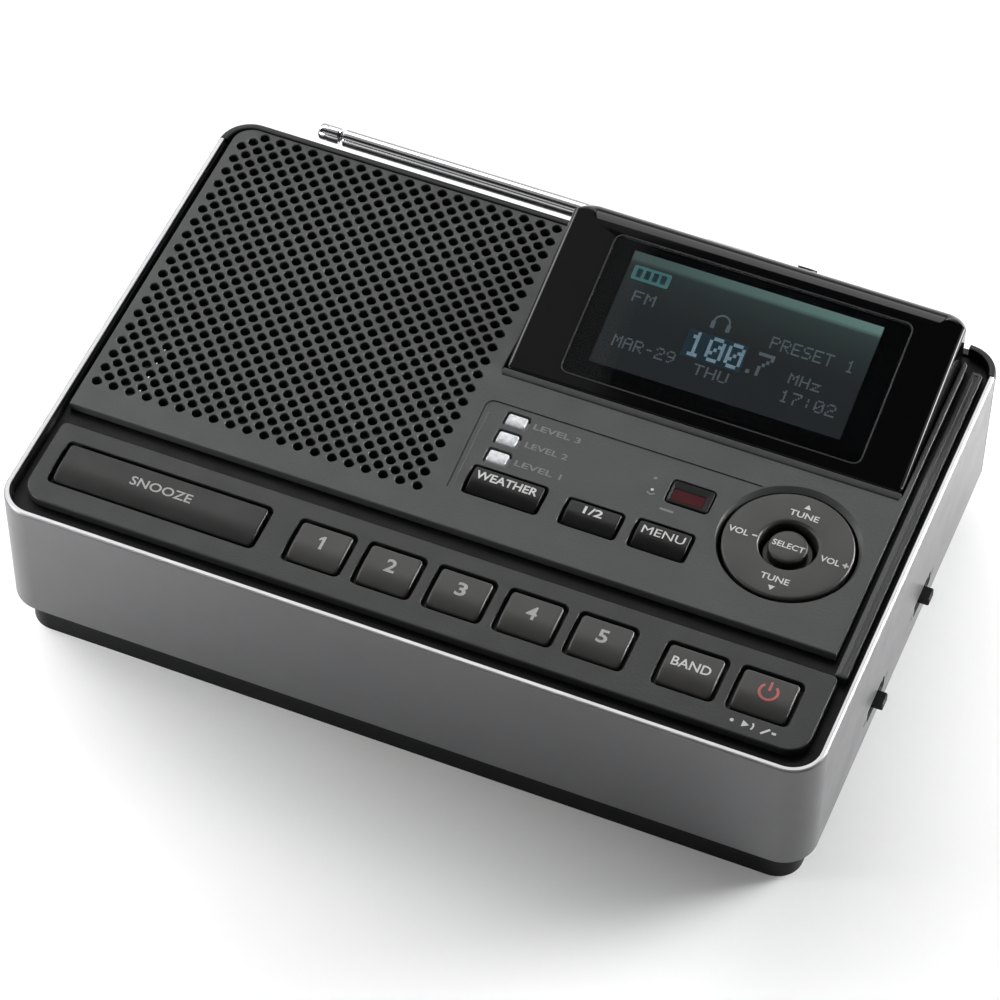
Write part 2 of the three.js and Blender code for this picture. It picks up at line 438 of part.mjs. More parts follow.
// Sockets on the rear panel.
function jack(name, x, z, rOut, rIn, depth, pin) {
  let s = solid(rod('y', rOut, HY - WALL - 1.2, HY - 0.4, x, z, 20));
  s = s.add(solid(box(x - rOut - 1, x + rOut + 1, HY - WALL - 1 - depth, HY - WALL - 0.4, z - rOut - 1, z + rOut + 1)));
  s = s.subtract(solid(rod('y', rIn, HY - WALL - depth + 1, HY + 2, x, z, 20)));
  if (pin) s = s.add(solid(rod('y', pin, HY - WALL - depth - 0.5, HY - WALL - 0.6, x, z, 12)));
  piece(name, s, BLACK);
}
jack('dc_jack', JACK_DC[0], JACK_DC[1], 3.9, 2.9, 12, 0.9);
jack('phones_jack', JACK_PHONES[0], JACK_PHONES[1], 2.9, 1.8, 11, 0);
// Ferrite rod aerial for the long-wave end of the dial, along the rear.
piece('ferrite_rod', rod('x', 4, -6, 66, 56, 33, 16), FERRITE);

// ------------------------------------------------------- telescopic antenna
{
  // turret: stem through the shelf, disc and two cheeks
  let s = join([
    rod('z', 1.3, 34, 43, TURRET_X, ANT_Y, 12),
    rod('z', TURRET_R, 42.3, 44.6, TURRET_X, ANT_Y, 20),
    solid(rod('z', TURRET_R + 0.05, 44.0, 50.2, TURRET_X, ANT_Y, 20)).intersect(solid(box(TURRET_X - 2.4, TURRET_X + 2.4, ANT_Y - 5, ANT_Y + 5, 40, 60))),
  ]);
  s = cut(s, [box(TURRET_X - 6, TURRET_X + 6, ANT_Y - 1.4, ANT_Y + 1.4, 45.0, 60), rod('y', 1.15, ANT_Y - 5, ANT_Y + 5, TURRET_X, ANT_Z, 12)]);
  piece('antenna_turret', s, CHROME);
  piece('antenna_hinge_pin', rod('y', 0.85, ANT_Y - 2.85, ANT_Y + 2.85, TURRET_X, ANT_Z, 12), STEEL);
  // knuckle: flat tongue between the cheeks, ferrule that grips the rod
  let k = join([
    box(36, TURRET_X, ANT_Y - 1.1, ANT_Y + 1.1, ANT_Z - 1.9, ANT_Z + 1.9),
    rod('y', 2.1, ANT_Y - 1.1, ANT_Y + 1.1, TURRET_X, ANT_Z, 16),
    turnedX([[0, ROD_X1 + 0.3], [2.3, ROD_X1 + 0.3], [2.6, ROD_X1 + 0.8], [2.6, 34], [2.0, 37], [0, 38]], ANT_Y, ANT_Z, 16),
  ]);
  k = cut(k, [rod('y', 1.15, ANT_Y - 5, ANT_Y + 5, TURRET_X, ANT_Z, 12)]);
  piece('antenna_knuckle', k, CHROME);
  // nested sections; the innermost carries the tip button
  for (let i = 0; i < 3; i++) {
    const r = ROD_R[i], x0 = ROD_X0 - 0.25 * i, x1 = ROD_X1 - 2 * i;
    piece(`antenna_section_${i + 1}`, turnedX([[r - ROD_WALL, x0], [r, x0], [r, x1], [r - ROD_WALL, x1], [r - ROD_WALL, x0]], ANT_Y, ANT_Z, 12), CHROME);
  }
  piece('antenna_section_4', turnedX([[0, -77.4], [1.3, -77.4], [2.1, -76.6], [2.1, -71.9], [1.6, -71.3], [ROD_R[3], -71.3], [ROD_R[3], ROD_X1 - 6], [0, ROD_X1 - 6]], ANT_Y, ANT_Z, 12), CHROME);
}

// Centre the footprint of the whole part: the knobs stand out at the right and
// the antenna's shelf and turret stand out at the back.
cabinet.position.set(-SW_OUT / 2, -(ANT_Y + 3.1 - HY) / 2, 0);

export default part;
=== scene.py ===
"""Tabletop radio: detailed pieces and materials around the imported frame.

Lengths below are in millimetres in the cabinet's own coordinates (centred on the
silver band, z up from the table); put() turns them into metres in the row frame.
"""
import math

import bmesh
import bpy
import numpy as np
from mathutils import Matrix, Vector
from mathutils.geometry import delaunay_2d_cdt


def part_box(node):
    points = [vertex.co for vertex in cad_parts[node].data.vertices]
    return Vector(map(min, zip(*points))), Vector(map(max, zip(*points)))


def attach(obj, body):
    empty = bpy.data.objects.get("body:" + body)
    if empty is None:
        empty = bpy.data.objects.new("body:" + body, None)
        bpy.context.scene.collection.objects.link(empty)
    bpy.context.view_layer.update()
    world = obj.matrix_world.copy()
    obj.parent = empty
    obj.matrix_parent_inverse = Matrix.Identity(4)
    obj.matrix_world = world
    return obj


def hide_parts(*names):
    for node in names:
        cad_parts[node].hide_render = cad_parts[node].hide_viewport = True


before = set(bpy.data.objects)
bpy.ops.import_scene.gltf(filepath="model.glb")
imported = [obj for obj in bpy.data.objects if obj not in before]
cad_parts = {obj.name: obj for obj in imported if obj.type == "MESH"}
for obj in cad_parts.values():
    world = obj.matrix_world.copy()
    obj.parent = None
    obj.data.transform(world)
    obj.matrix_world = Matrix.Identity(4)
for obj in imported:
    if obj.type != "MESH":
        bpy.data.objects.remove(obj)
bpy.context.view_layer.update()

SCENE = bpy.context.scene

# The band's front left corner ties the cabinet's coordinates to the row frame.
_lo, _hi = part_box("housing_band")
OX = _lo.x * 1000 + 99.0
OY = _lo.y * 1000 + 65.65


def put(p):
    return ((p[0] + OX) * 1e-3, (p[1] + OY) * 1e-3, p[2] * 1e-3)


# ------------------------------------------------------------------ materials
def sock(node, *names):
    for n in names:
        if n in node.inputs:
            return node.inputs[n]
    raise KeyError(names)


class Nodes:
    """A small helper that lays out one material's node tree."""

    def __init__(self, name):
        self.mat = bpy.data.materials.new(name)
        self.mat.use_nodes = True
        self.nt = self.mat.node_tree
        self.nt.nodes.clear()
        self.out = self.nt.nodes.new("ShaderNodeOutputMaterial")
        self.p = self.nt.nodes.new("ShaderNodeBsdfPrincipled")
        self.link(self.p.outputs[0], self.out.inputs[0])
        self.tc = self.nt.nodes.new("ShaderNodeTexCoord")

    def link(self, a, b):
        self.nt.links.new(a, b)

    def noise(self, scale, detail=2.0, rough=0.5, stretch=None):
        n = self.nt.nodes.new("ShaderNodeTexNoise")
        n.inputs["Scale"].default_value = scale
        n.inputs["Detail"].default_value = detail
        n.inputs["Roughness"].default_value = rough
        src = self.tc.outputs["Object"]
        if stretch:
            m = self.nt.nodes.new("ShaderNodeMapping")
            m.inputs["Scale"].default_value = stretch
            self.link(src, m.inputs["Vector"])
            src = m.outputs[0]
        self.link(src, n.inputs["Vector"])
        return n.outputs[0]

    def ramp(self, value, a, b, c, d):
        """value from a..b to c..d, clamped."""
        m = self.nt.nodes.new("ShaderNodeMapRange")
        m.inputs["From Min"].default_value = a
        m.inputs["From Max"].default_value = b
        m.inputs["To Min"].default_value = c
        m.inputs["To Max"].default_value = d
        self.link(value, m.inputs["Value"])
        return m.outputs[0]

    def math(self, op, a, b):
        m = self.nt.nodes.new("ShaderNodeMath")
        m.operation = op
        for s, v in zip(m.inputs, (a, b)):
            if isinstance(v, (int, float)):
                s.default_value = v
            else:
                self.link(v, s)
        return m.outputs[0]

    def mix(self, factor, a, b):
        m = self.nt.nodes.new("ShaderNodeMix")
        m.data_type = "RGBA"
        f = m.inputs[0]
        if isinstance(factor, (int, float)):
            f.default_value = factor
        else:
            self.link(factor, f)
        for s, v in ((m.inputs[6], a), (m.inputs[7], b)):
            if isinstance(v, tuple):
                s.default_value = (*v, 1)
            else:
                self.link(v, s)
        return m.outputs[2]

    def bump(self, height, distance, strength=1.0, normal=None):
        b = self.nt.nodes.new("ShaderNodeBump")
        b.inputs["Strength"].default_value = strength
        b.inputs["Distance"].default_value = distance
        self.link(height, b.inputs["Height"])
        if normal is not None:
            self.link(normal, b.inputs["Normal"])
        return b.outputs[0]

    def edges(self, radius):
        """1 along sharp edges, 0 on flats: how far the rounded normal turns from the true one."""
        b = self.nt.nodes.new("ShaderNodeBevel")
        b.samples = 6
        b.inputs["Radius"].default_value = radius
        g = self.nt.nodes.new("ShaderNodeNewGeometry")
        d = self.nt.nodes.new("ShaderNodeVectorMath")
        d.operation = "DOT_PRODUCT"
        self.link(b.outputs[0], d.inputs[0])
        self.link(g.outputs["Normal"], d.inputs[1])
        return self.ramp(d.outputs["Value"], 0.985, 0.86, 0.0, 1.0)


def shade(c, k):
    return tuple(min(1.0, max(0.0, v * k)) for v in c)


def surface(name, color, rough=0.5, metal=0.0, grain=(3200, 0.000012), blotch=(38, 0.07), rvar=0.07,
            wear=None, coat=0.0, coat_rough=0.08, spec=0.5, stretch=None, emit=None, ior=1.46):
    """Moulded or plated finish: fine grain in the bump, slow drifts in colour and
    roughness, and paler rubbed edges where wear says so."""
    n = Nodes(name)
    p = n.p
    slow = n.noise(blotch[0], 4.0, 0.6)
    col = n.mix(n.ramp(slow, 0.32, 0.68, 0, 1), shade(color, 1 - blotch[1]), shade(color, 1 + blotch[1]))
    fine = n.noise(grain[0], 3.0, 0.62, stretch)
    col = n.mix(n.ramp(fine, 0.3, 0.7, 0.0, 0.10), col, shade(color, 1.35))
    if wear:
        amount, tone = wear
        edge = n.math("MULTIPLY", n.edges(0.00035), n.ramp(n.noise(420, 3.0, 0.7), 0.35, 0.75, 0.15, amount))
        col = n.mix(edge, col, tone)
    n.link(col, p.inputs["Base Color"])
    r = n.ramp(n.noise(150, 5.0, 0.65), 0.3, 0.7, max(0.02, rough - rvar), min(1.0, rough + rvar))
    n.link(r, p.inputs["Roughness"])
    p.inputs["Metallic"].default_value = metal
    p.inputs["Specular IOR Level"].default_value = spec
    p.inputs["IOR"].default_value = ior
    if coat:
        p.inputs["Coat Weight"].default_value = coat
        p.inputs["Coat Roughness"].default_value = coat_rough
    if grain[1]:
        n.link(n.bump(fine, grain[1]), p.inputs["Normal"])
    if emit:
        p.inputs["Emission Color"].default_value = (*emit[0], 1)
        p.inputs["Emission Strength"].default_value = emit[1]
    return n.mat


# Silver paint with fine metal flake, seen as a satin sheen.
def band_paint():
    n = Nodes("silver_paint")
    p = n.p
    base = (0.105, 0.105, 0.107)
    slow = n.noise(16, 3.0, 0.5)
    col = n.mix(n.ramp(slow, 0.3, 0.7, 0, 1), shade(base, 0.955), shade(base, 1.03))
    flake = n.nt.nodes.new("ShaderNodeTexVoronoi")
    flake.inputs["Scale"].default_value = 5200
    n.link(n.tc.outputs["Object"], flake.inputs["Vector"])
    glint = n.ramp(flake.outputs["Distance"], 0.0, 0.5, 0.16, 0.0)
    col = n.mix(glint, col, shade(base, 1.6))
    edge = n.math("MULTIPLY", n.edges(0.0004), n.ramp(n.noise(300, 3.0, 0.7), 0.4, 0.8, 0.1, 0.5))
    col = n.mix(edge, col, (0.40, 0.40, 0.405))
    n.link(col, p.inputs["Base Color"])
    p.inputs["Metallic"].default_value = 0.72
    n.link(n.ramp(n.noise(90, 5.0, 0.6), 0.3, 0.7, 0.37, 0.45), p.inputs["Roughness"])
    p.inputs["Coat Weight"].default_value = 0.25
    p.inputs["Coat Roughness"].default_value = 0.28
    b1 = n.bump(n.noise(5600, 2.0, 0.6), 0.000006)
    n.link(n.bump(n.noise(700, 2.0, 0.5), 0.000008, normal=b1), p.inputs["Normal"])
    return n.mat


def glow_lcd():
    """Liquid-crystal panel: near-black with faint pixel rows, and the backlight
    leaking in from its rear edge."""
    n = Nodes("lcd_panel")
    p = n.p
    sep = n.nt.nodes.new("ShaderNodeSeparateXYZ")
    n.link(n.tc.outputs["Object"], sep.inputs[0])
    y_back = (54.9 + OY) * 1e-3
    near = n.ramp(sep.outputs["Y"], y_back - 0.0030, y_back - 0.0018, 0.0, 1.0)
    wide = n.ramp(sep.outputs["Y"], y_back - 0.019, y_back, 0.0, 1.0)
    side = n.ramp(sep.outputs["X"], (4 + OX) * 1e-3, (74 + OX) * 1e-3, 0.25, 1.0)
    rows = n.nt.nodes.new("ShaderNodeTexWave")
    rows.wave_type = "BANDS"
    rows.bands_direction = "Y"
    rows.inputs["Scale"].default_value = 560
    n.link(n.tc.outputs["Object"], rows.inputs["Vector"])
    base = n.mix(n.ramp(n.noise(60, 3.0), 0.3, 0.7, 0, 1), (0.0055, 0.006, 0.0065), (0.0075, 0.0082, 0.0088))
    base = n.mix(n.math("MULTIPLY", rows.outputs["Fac"], 0.25), base, (0.012, 0.0135, 0.014))
    n.link(base, p.inputs["Base Color"])
    glow = n.math("ADD", n.math("MULTIPLY", near, 0.75), n.math("MULTIPLY", n.math("POWER", wide, 2.0), 0.22))
    glow = n.math("MULTIPLY", glow, side)
    dim = n.mix(n.math("MULTIPLY", rows.outputs["Fac"], 0.5), (0.040, 0.0425, 0.045), (0.051, 0.054, 0.057))
    c = n.mix(glow, dim, (0.33, 0.54, 0.48))
    n.link(c, p.inputs["Emission Color"])
    p.inputs["Emission Strength"].default_value = 0.55
    p.inputs["Roughness"].default_value = 0.35
    p.inputs["Specular IOR Level"].default_value = 0.1
    return n.mat


def print_ink(name, color, strength=0.0, rough=0.55):
    n = Nodes(name)
    c = n.mix(n.ramp(n.noise(2600, 3.0, 0.7), 0.3, 0.62, 0.35, 0.0), color, shade(color, 0.55))
    n.link(c, n.p.inputs["Base Color"])
    n.link(n.ramp(n.noise(900), 0.3, 0.7, rough - 0.08, rough + 0.08), n.p.inputs["Roughness"])
    if strength:
        n.p.inputs["Emission Color"].default_value = (*color, 1)
        n.p.inputs["Emission Strength"].default_value = strength
    return n.mat


def smoked_lens():
    n = Nodes("smoked_lens")
    p = n.p
    p.inputs["Base Color"].default_value = (0.62, 0.66, 0.68, 1)
    p.inputs["Transmission Weight"].default_value = 1.0
    p.inputs["IOR"].default_value = 1.2
    p.inputs["Roughness"].default_value = 0.0
    return n.mat


def milk():
    n = Nodes("milk_lens")
    p = n.p
    c = n.mix(n.ramp(n.noise(900, 3.0, 0.7), 0.35, 0.7, 0.0, 1.0), (0.30, 0.31, 0.32), (0.55, 0.56, 0.57))
    n.link(c, p.inputs["Base Color"])
    p.inputs["Roughness"].default_value = 0.22
    p.inputs["Subsurface Weight"].default_value = 0.35
    p.inputs["Subsurface Radius"].default_value = (0.001, 0.001, 0.001)
    p.inputs["Subsurface Scale"].default_value = 0.6
    p.inputs["Emission Color"].default_value = (0.9, 0.93, 0.95, 1)
    p.inputs["Emission Strength"].default_value = 0.10
    return n.mat


M = {
    "band": band_paint(),
    "rim": surface("polished_rim", (0.30, 0.30, 0.305), 0.32, 1.0, grain=(2600, 0.000002), blotch=(40, 0.03), rvar=0.05),
    "shell": surface("black_shell", (0.008, 0.008, 0.0087), 0.42, grain=(2600, 0.00003), wear=(0.35, (0.04, 0.04, 0.042)), spec=0.32),
    "under": surface("base_black", (0.0045, 0.0045, 0.0048), 0.38, grain=(2000, 0.00004), wear=(0.4, (0.03, 0.03, 0.031)), spec=0.08),
    "trim": surface("black_trim", (0.0035, 0.0035, 0.0038), 0.50, grain=(2800, 0.00002), spec=0.18),
    "deck": surface("deck_grey", (0.034, 0.0362, 0.0352), 0.46, grain=(1500, 0.00006), blotch=(30, 0.08), wear=(0.45, (0.085, 0.088, 0.085)), spec=0.36),
    "deck_low": surface("deck_low", (0.019, 0.020, 0.0196), 0.44, grain=(1500, 0.00006), blotch=(30, 0.08), wear=(0.5, (0.07, 0.072, 0.07)), spec=0.30),
    "key": surface("key_grey", (0.027, 0.0262, 0.0251), 0.40, grain=(3600, 0.000012), blotch=(70, 0.06), wear=(0.55, (0.085, 0.083, 0.08)), spec=0.34),
    "key_mid": surface("key_mid", (0.014, 0.014, 0.0136), 0.40, grain=(3600, 0.000012), blotch=(70, 0.06), wear=(0.55, (0.06, 0.06, 0.058)), spec=0.26),
    "key_dark": surface("key_dark", (0.008, 0.008, 0.0082), 0.36, grain=(3600, 0.000012), blotch=(70, 0.06), wear=(0.5, (0.04, 0.04, 0.04)), spec=0.2),
    "gloss": surface("gloss_black", (0.0022, 0.0022, 0.0026), 0.07, grain=(300, 0.0000015), blotch=(30, 0.1), rvar=0.03, spec=0.30),
    # grey of the window line ring: a painted highlight for the groove edge round the window, laid on a real trim ring
    "line": surface("window_line_painted_highlight", (0.022, 0.021, 0.022), 0.5, grain=(3000, 0.000004)),
    "mask": surface("mask_black", (0.0018, 0.0018, 0.0022), 0.5, grain=(2000, 0), rvar=0.02, spec=0.1),
    "lcd": glow_lcd(),
    "lens": smoked_lens(),
    "milk": milk(),
    "red": surface("red_window", (0.028, 0.0005, 0.002), 0.34, grain=(900, 0.000002), spec=0.08, emit=((0.30, 0.004, 0.02), 0.035)),
    "chrome": surface("chrome_plate", (0.55, 0.55, 0.56), 0.13, 1.0, grain=(1500, 0.000001), blotch=(60, 0.03), rvar=0.04),
    "steel": surface("zinc_steel", (0.50, 0.50, 0.50), 0.34, 1.0, grain=(1900, 0.000008), blotch=(120, 0.12)),
    "iron": surface("sintered_iron", (0.03, 0.03, 0.031), 0.6, 0.4, grain=(1300, 0.00005)),
    "paper": surface("cone_paper", (0.010, 0.010, 0.0105), 0.85, grain=(1700, 0.00006), spec=0.2),
    "basket": surface("basket_black", (0.010, 0.010, 0.010), 0.5, 0.2, grain=(2000, 0.00002)),
    "rubber": surface("foot_rubber", (0.016, 0.016, 0.016), 0.85, grain=(1500, 0.00005), spec=0.25),
    "mat": surface("mat_rubber", (0.020, 0.020, 0.021), 0.8, grain=(1500, 0.00003), spec=0.2),
    "board": surface("solder_mask", (0.006, 0.05, 0.018), 0.35, grain=(900, 0.00002), blotch=(160, 0.2)),
    "cell": surface("cell_can", (0.09, 0.10, 0.12), 0.3, 0.8, grain=(800, 0.000004)),
    "ink": print_ink("ink_white", (0.44, 0.44, 0.43)),
    "ink_mid": print_ink("ink_mid", (0.27, 0.27, 0.265)),
    "ink_soft": print_ink("ink_soft", (0.115, 0.12, 0.115)),
    "ink_red": print_ink("ink_red", (0.30, 0.065, 0.062)),
    "ink_dark": print_ink("ink_dark", (0.10, 0.10, 0.10)),
    "lcd_hi": print_ink("lcd_digits", (0.22, 0.31, 0.37), 0.62),
    "lcd_mid": print_ink("lcd_marks", (0.105, 0.125, 0.135), 0.70),
    "lcd_teal": print_ink("lcd_teal", (0.07, 0.19, 0.175), 0.6),
    "lcd_blue": print_ink("lcd_blue", (0.013, 0.030, 0.042), 0.55),
}


# ----------------------------------------------------------------- mesh tools
def rrect(x0, x1, y0, y1, r=0.0, n=6):
    """Counter-clockwise rounded rectangle. r may be one radius or front-left,
    front-right, back-right, back-left."""
    a, b, c, d = r if isinstance(r, (list, tuple)) else (r,) * 4
    out = []
    for cx, cy, rr, t0 in ((x0 + a, y0 + a, a, 180), (x1 - b, y0 + b, b, 270), (x1 - c, y1 - c, c, 0), (x0 + d, y1 - d, d, 90)):
        for i in range(n + 1):
            t = math.radians(t0 + 90 * i / n)
            out.append((cx + rr * math.cos(t), cy + rr * math.sin(t)))
    return out


def rrect_fine(x0, x1, y0, y1, r, n=6, m=10):
    """rrect with m steps along each straight side, so that a height can follow it."""
    base = rrect(x0, x1, y0, y1, r, n)
    out = []
    for i, p in enumerate(base):
        out.append(p)
        if i % (n + 1) == n:
            q = base[(i + 1) % len(base)]
            out += [(p[0] + (q[0] - p[0]) * k / m, p[1] + (q[1] - p[1]) * k / m) for k in range(1, m)]
    return out


def circle(cx, cy, r, n=64, start=0.0):
    return [(cx + r * math.cos(start + 2 * math.pi * i / n), cy + r * math.sin(start + 2 * math.pi * i / n)) for i in range(n)]


def area2(loop):
    return sum(loop[i][0] * loop[(i + 1) % len(loop)][1] - loop[(i + 1) % len(loop)][0] * loop[i][1] for i in range(len(loop)))


def turned_way(loop, ccw=True):
    return loop if (area2(loop) > 0) == ccw else loop[::-1]


def shift(loop, d):
    """Moves each point of a closed loop d to the left of the way it runs."""
    n = len(loop)
    out = []
    for i in range(n):
        x, y = loop[i]
        k = i - 1
        while math.dist(loop[k], loop[i]) < 1e-9:
            k -= 1
        j = (i + 1) % n
        while math.dist(loop[j], loop[i]) < 1e-9:
            j = (j + 1) % n
        ax, ay = x - loop[k][0], y - loop[k][1]
        bx, by = loop[j][0] - x, loop[j][1] - y
        la, lb = math.hypot(ax, ay), math.hypot(bx, by)
        n1, n2 = (-ay / la, ax / la), (-by / lb, bx / lb)
        s = 1 + n1[0] * n2[0] + n1[1] * n2[1]
        s = max(s, 0.35)
        out.append((x + d * (n1[0] + n2[0]) / s, y + d * (n1[1] + n2[1]) / s))
    return out


def inside(loops, pts):
    """Even-odd test of many points against all the loops together."""
    ax, ay, bx, by = [], [], [], []
    for l in loops:
        for i, p in enumerate(l):
            q = l[(i + 1) % len(l)]
            ax.append(p[0]); ay.append(p[1]); bx.append(q[0]); by.append(q[1])
    ax, ay, bx, by = (np.array(v) for v in (ax, ay, bx, by))
    pts = np.array(pts)
    out = np.zeros(len(pts), bool)
    for s in range(0, len(pts), 1500):
        x, y = pts[s:s + 1500, 0:1], pts[s:s + 1500, 1:2]
        hit = (ay > y) != (by > y)
        with np.errstate(divide="ignore", invalid="ignore"):
            cross = x < (bx - ax) * (y - ay) / (by - ay) + ax
        out[s:s + 1500] = (np.sum(hit & cross, axis=1) % 2) == 1
    return out


def cdt(loops, extra=()):
    """Triangles that fill between the loops. Returns triangles as (loop, index) pairs."""
    pts, edges, owner = [], [], []
    for li, loop in enumerate(loops):
        s = len(pts)
        for i, p in enumerate(loop):
            pts.append(Vector((p[0], p[1])))
            owner.append((li, i))
            edges.append((s + i, s + (i + 1) % len(loop)))
    v, e, f, ov, oe, of = delaunay_2d_cdt(pts, edges, [], 0, 1e-7)
    where = [o[0] if o else None for o in ov]
    middles = [((v[t[0]].x + v[t[1]].x + v[t[2]].x) / 3, (v[t[0]].y + v[t[1]].y + v[t[2]].y) / 3) for t in f]
    good = inside(loops, middles)
    tris = []
    for t, ok in zip(f, good):
        if not ok:
            continue
        ids = [where[i] for i in t]
        if None in ids or len(set(ids)) < 3:
            raise ValueError(f"outlines cross near {[tuple(v[i]) for i in t]}")
        a, b, c = (pts[i] for i in ids)
        if (b - a).cross(c - a) < 0:
            ids = ids[::-1]
        tris.append(tuple(owner[i] for i in ids))
    return tris


class Build:
    """Vertices and faces of one piece, in cabinet millimetres."""

    def __init__(self):
        self.v, self.f, self.m = [], [], []

    def add(self, pts):
        s = len(self.v)
        self.v.extend(pts)
        return list(range(s, s + len(pts)))

    def face(self, ids, m=0):
        self.f.append(tuple(ids))
        self.m.append(m)

    def strip(self, a, b, m=0, closed=True):
        n = len(a)
        for i in range(n if closed else n - 1):
            j = (i + 1) % n
            self.face((a[i], a[j], b[j], b[i]), m)

    def merge(self, other, dm=0):
        s = len(self.v)
        self.v.extend(other.v)
        self.f.extend(tuple(i + s for i in f) for f in other.f)
        self.m.extend(k + dm for k in other.m)

    def mesh(self, name, mats, angle=32.0, fix=True):
        me = bpy.data.meshes.new(name)
        me.from_pydata([put(p) for p in self.v], [], self.f)
        for m in mats:
            me.materials.append(m)
        me.polygons.foreach_set("material_index", self.m)
        bm = bmesh.new()
        bm.from_mesh(me)
        bmesh.ops.remove_doubles(bm, verts=bm.verts, dist=1e-7)
        bmesh.ops.dissolve_degenerate(bm, edges=bm.edges, dist=1e-8)
        if fix:
            bmesh.ops.recalc_face_normals(bm, faces=bm.faces)
        bm.to_mesh(me)
        bm.free()
        me.polygons.foreach_set("use_smooth", [True] * len(me.polygons))
        me.set_sharp_from_angle(angle=math.radians(angle))
        me.update()
        return me


def piece(name, build, mats, body="cabinet", nodes=(), angle=32.0, weighted=True, fix=True):
    me = build if isinstance(build, bpy.types.Mesh) else build.mesh(name, mats if isinstance(mats, list) else [mats], angle, fix)
    ob = bpy.data.objects.new(name, me)
    SCENE.collection.objects.link(ob)
    if weighted:
        w = ob.modifiers.new("normals", "WEIGHTED_NORMAL")
        w.keep_sharp = True
        w.weight = 60
    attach(ob, body)
    if nodes:
        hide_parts(*nodes)
    return ob


def arc_rings(loop, z0, z1, bev, seg=3, low=None):
    """Rings of a wall with a rounded top edge, from z0 up to z1."""
    out = [(loop, z0), (loop, z1 - bev)] if low is None else [(shift(loop, low), z0), (loop, z0 + low), (loop, z1 - bev)]
    for i in range(1, seg + 1):
        t = math.pi / 2 * i / seg
        out.append((shift(loop, bev * (1 - math.cos(t))), z1 - bev + bev * math.sin(t)))
    return out


def plate(outer, holes, z0, z1, bev=0.25, hole_bev=0.15, seg=3, hseg=2, ring_sets=(), pockets=(), zf=None, m_top=0, m_side=0):
    """A flat piece with rounded edges round its outline and its holes.
    ring_sets: extra openings given as their own list of (loop, z) from bottom to top.
    pockets: (loop, depth, edge) sunk in the top face."""
    b = Build()
    sets = [arc_rings(turned_way(outer), z0, z1, bev, seg)]
    sets += [arc_rings(turned_way(h, False), z0, z1, hole_bev, hseg) for h in holes]
    sets += [[(turned_way(l, False), z) for l, z in rs] for rs in ring_sets]
    lift = (lambda x, y, z: z + zf(x, y)) if zf else (lambda x, y, z: z)
    tops, bottoms = [], []
    for rings in sets:
        ids = [b.add([(x, y, lift(x, y, z)) for x, y in loop]) for loop, z in rings]
        for a, c in zip(ids, ids[1:]):
            b.strip(a, c, m_side)
        tops.append((rings[-1][0], ids[-1]))
        bottoms.append(ids[0])
    floors = []
    for loop, depth, edge in pockets:
        lp = turned_way(loop, False)
        rings = [(shift(lp, -edge), z1 - depth), (lp, z1)]
        ids = [b.add([(x, y, lift(x, y, z)) for x, y in l]) for l, z in rings]
        b.strip(ids[0], ids[1], m_side)
        low = b.add([(x, y, lift(x, y, z0)) for x, y in lp])
        tops.append((lp, ids[1]))
        bottoms.append(low)
        floors.append((rings[0][0], ids[0], low))
    for t in cdt([l for l, _ in tops]):
        b.face([tops[li][1][i] for li, i in t], m_top)
        b.face([bottoms[li][i] for li, i in reversed(t)], m_side)
    for loop, ids, low in floors:
        for t in cdt([loop]):
            b.face([ids[i] for _, i in t], m_side)
            b.face([low[i] for _, i in reversed(t)], m_side)
    return b


def stack(rings, cap_low=True, cap_high=True, m=0):
    """A closed piece from rings of equal point count, bottom to top."""
    b = Build()
    ids = [b.add(r) for r in rings]
    for a, c in zip(ids, ids[1:]):
        b.strip(a, c, m)
    if cap_low:
        b.face(ids[0][::-1], m)
    if cap_high:
        b.face(ids[-1], m)
    return b


def lathe(profile, n=64, closed=True, place=None, m=0, mz=None):
    """(radius, height) profile turned about an axis. place maps (r cos, r sin, h)."""
    place = place or (lambda a, c, h: (a, c, h))
    b = Build()
    rings = []
    for r, h in profile:
        if r < 1e-9:
            rings.append(b.add([place(0, 0, h)]))
        else:
            rings.append(b.add([place(r * math.cos(2 * math.pi * i / n), r * math.sin(2 * math.pi * i / n), h) for i in range(n)]))
    pairs = list(zip(range(len(rings)), range(1, len(rings))))
    if closed:
        pairs.append((len(rings) - 1, 0))
    for a, c in pairs:
        A, C = rings[a], rings[c]
        mm = mz(profile[a], profile[c]) if mz else m
        if len(A) == 1 and len(C) == 1:
            continue
        for i in range(n):
            j = (i + 1) % n
            if len(A) == 1:
                b.face((A[0], C[j], C[i]), mm)
            elif len(C) == 1:
                b.face((A[i], A[j], C[0]), mm)
            else:
                b.face((A[i], A[j], C[j], C[i]), mm)
    return b


def about_z(cx, cy):
    return lambda a, c, h: (cx + a, cy + c, h)


def about_x(cy, cz):
    return lambda a, c, h: (h, cy + a, cz + c)


def about_y(cx, cz):
    return lambda a, c, h: (cx + a, h, cz + c)


def block(x0, x1, y0, y1, z0, z1, bev=0.2, r=0.4, seg=2, n=4):
    """A box with rounded upright corners and rounded top and bottom edges."""
    lp = rrect(x0, x1, y0, y1, r, n)
    rings = [[(x, y, z0) for x, y in shift(lp, bev)]]
    for i in range(seg + 1):
        t = math.pi / 2 * i / seg
        rings.append([(x, y, z0 + bev * (1 - math.cos(t)) if False else z0 + bev * math.sin(t)) for x, y in shift(lp, bev * (1 - math.sin(t)))])
    for i in range(seg + 1):
        t = math.pi / 2 * i / seg
        rings.append([(x, y, z1 - bev + bev * math.sin(t)) for x, y in shift(lp, bev * (1 - math.cos(t)))])
    return stack(rings[1:])


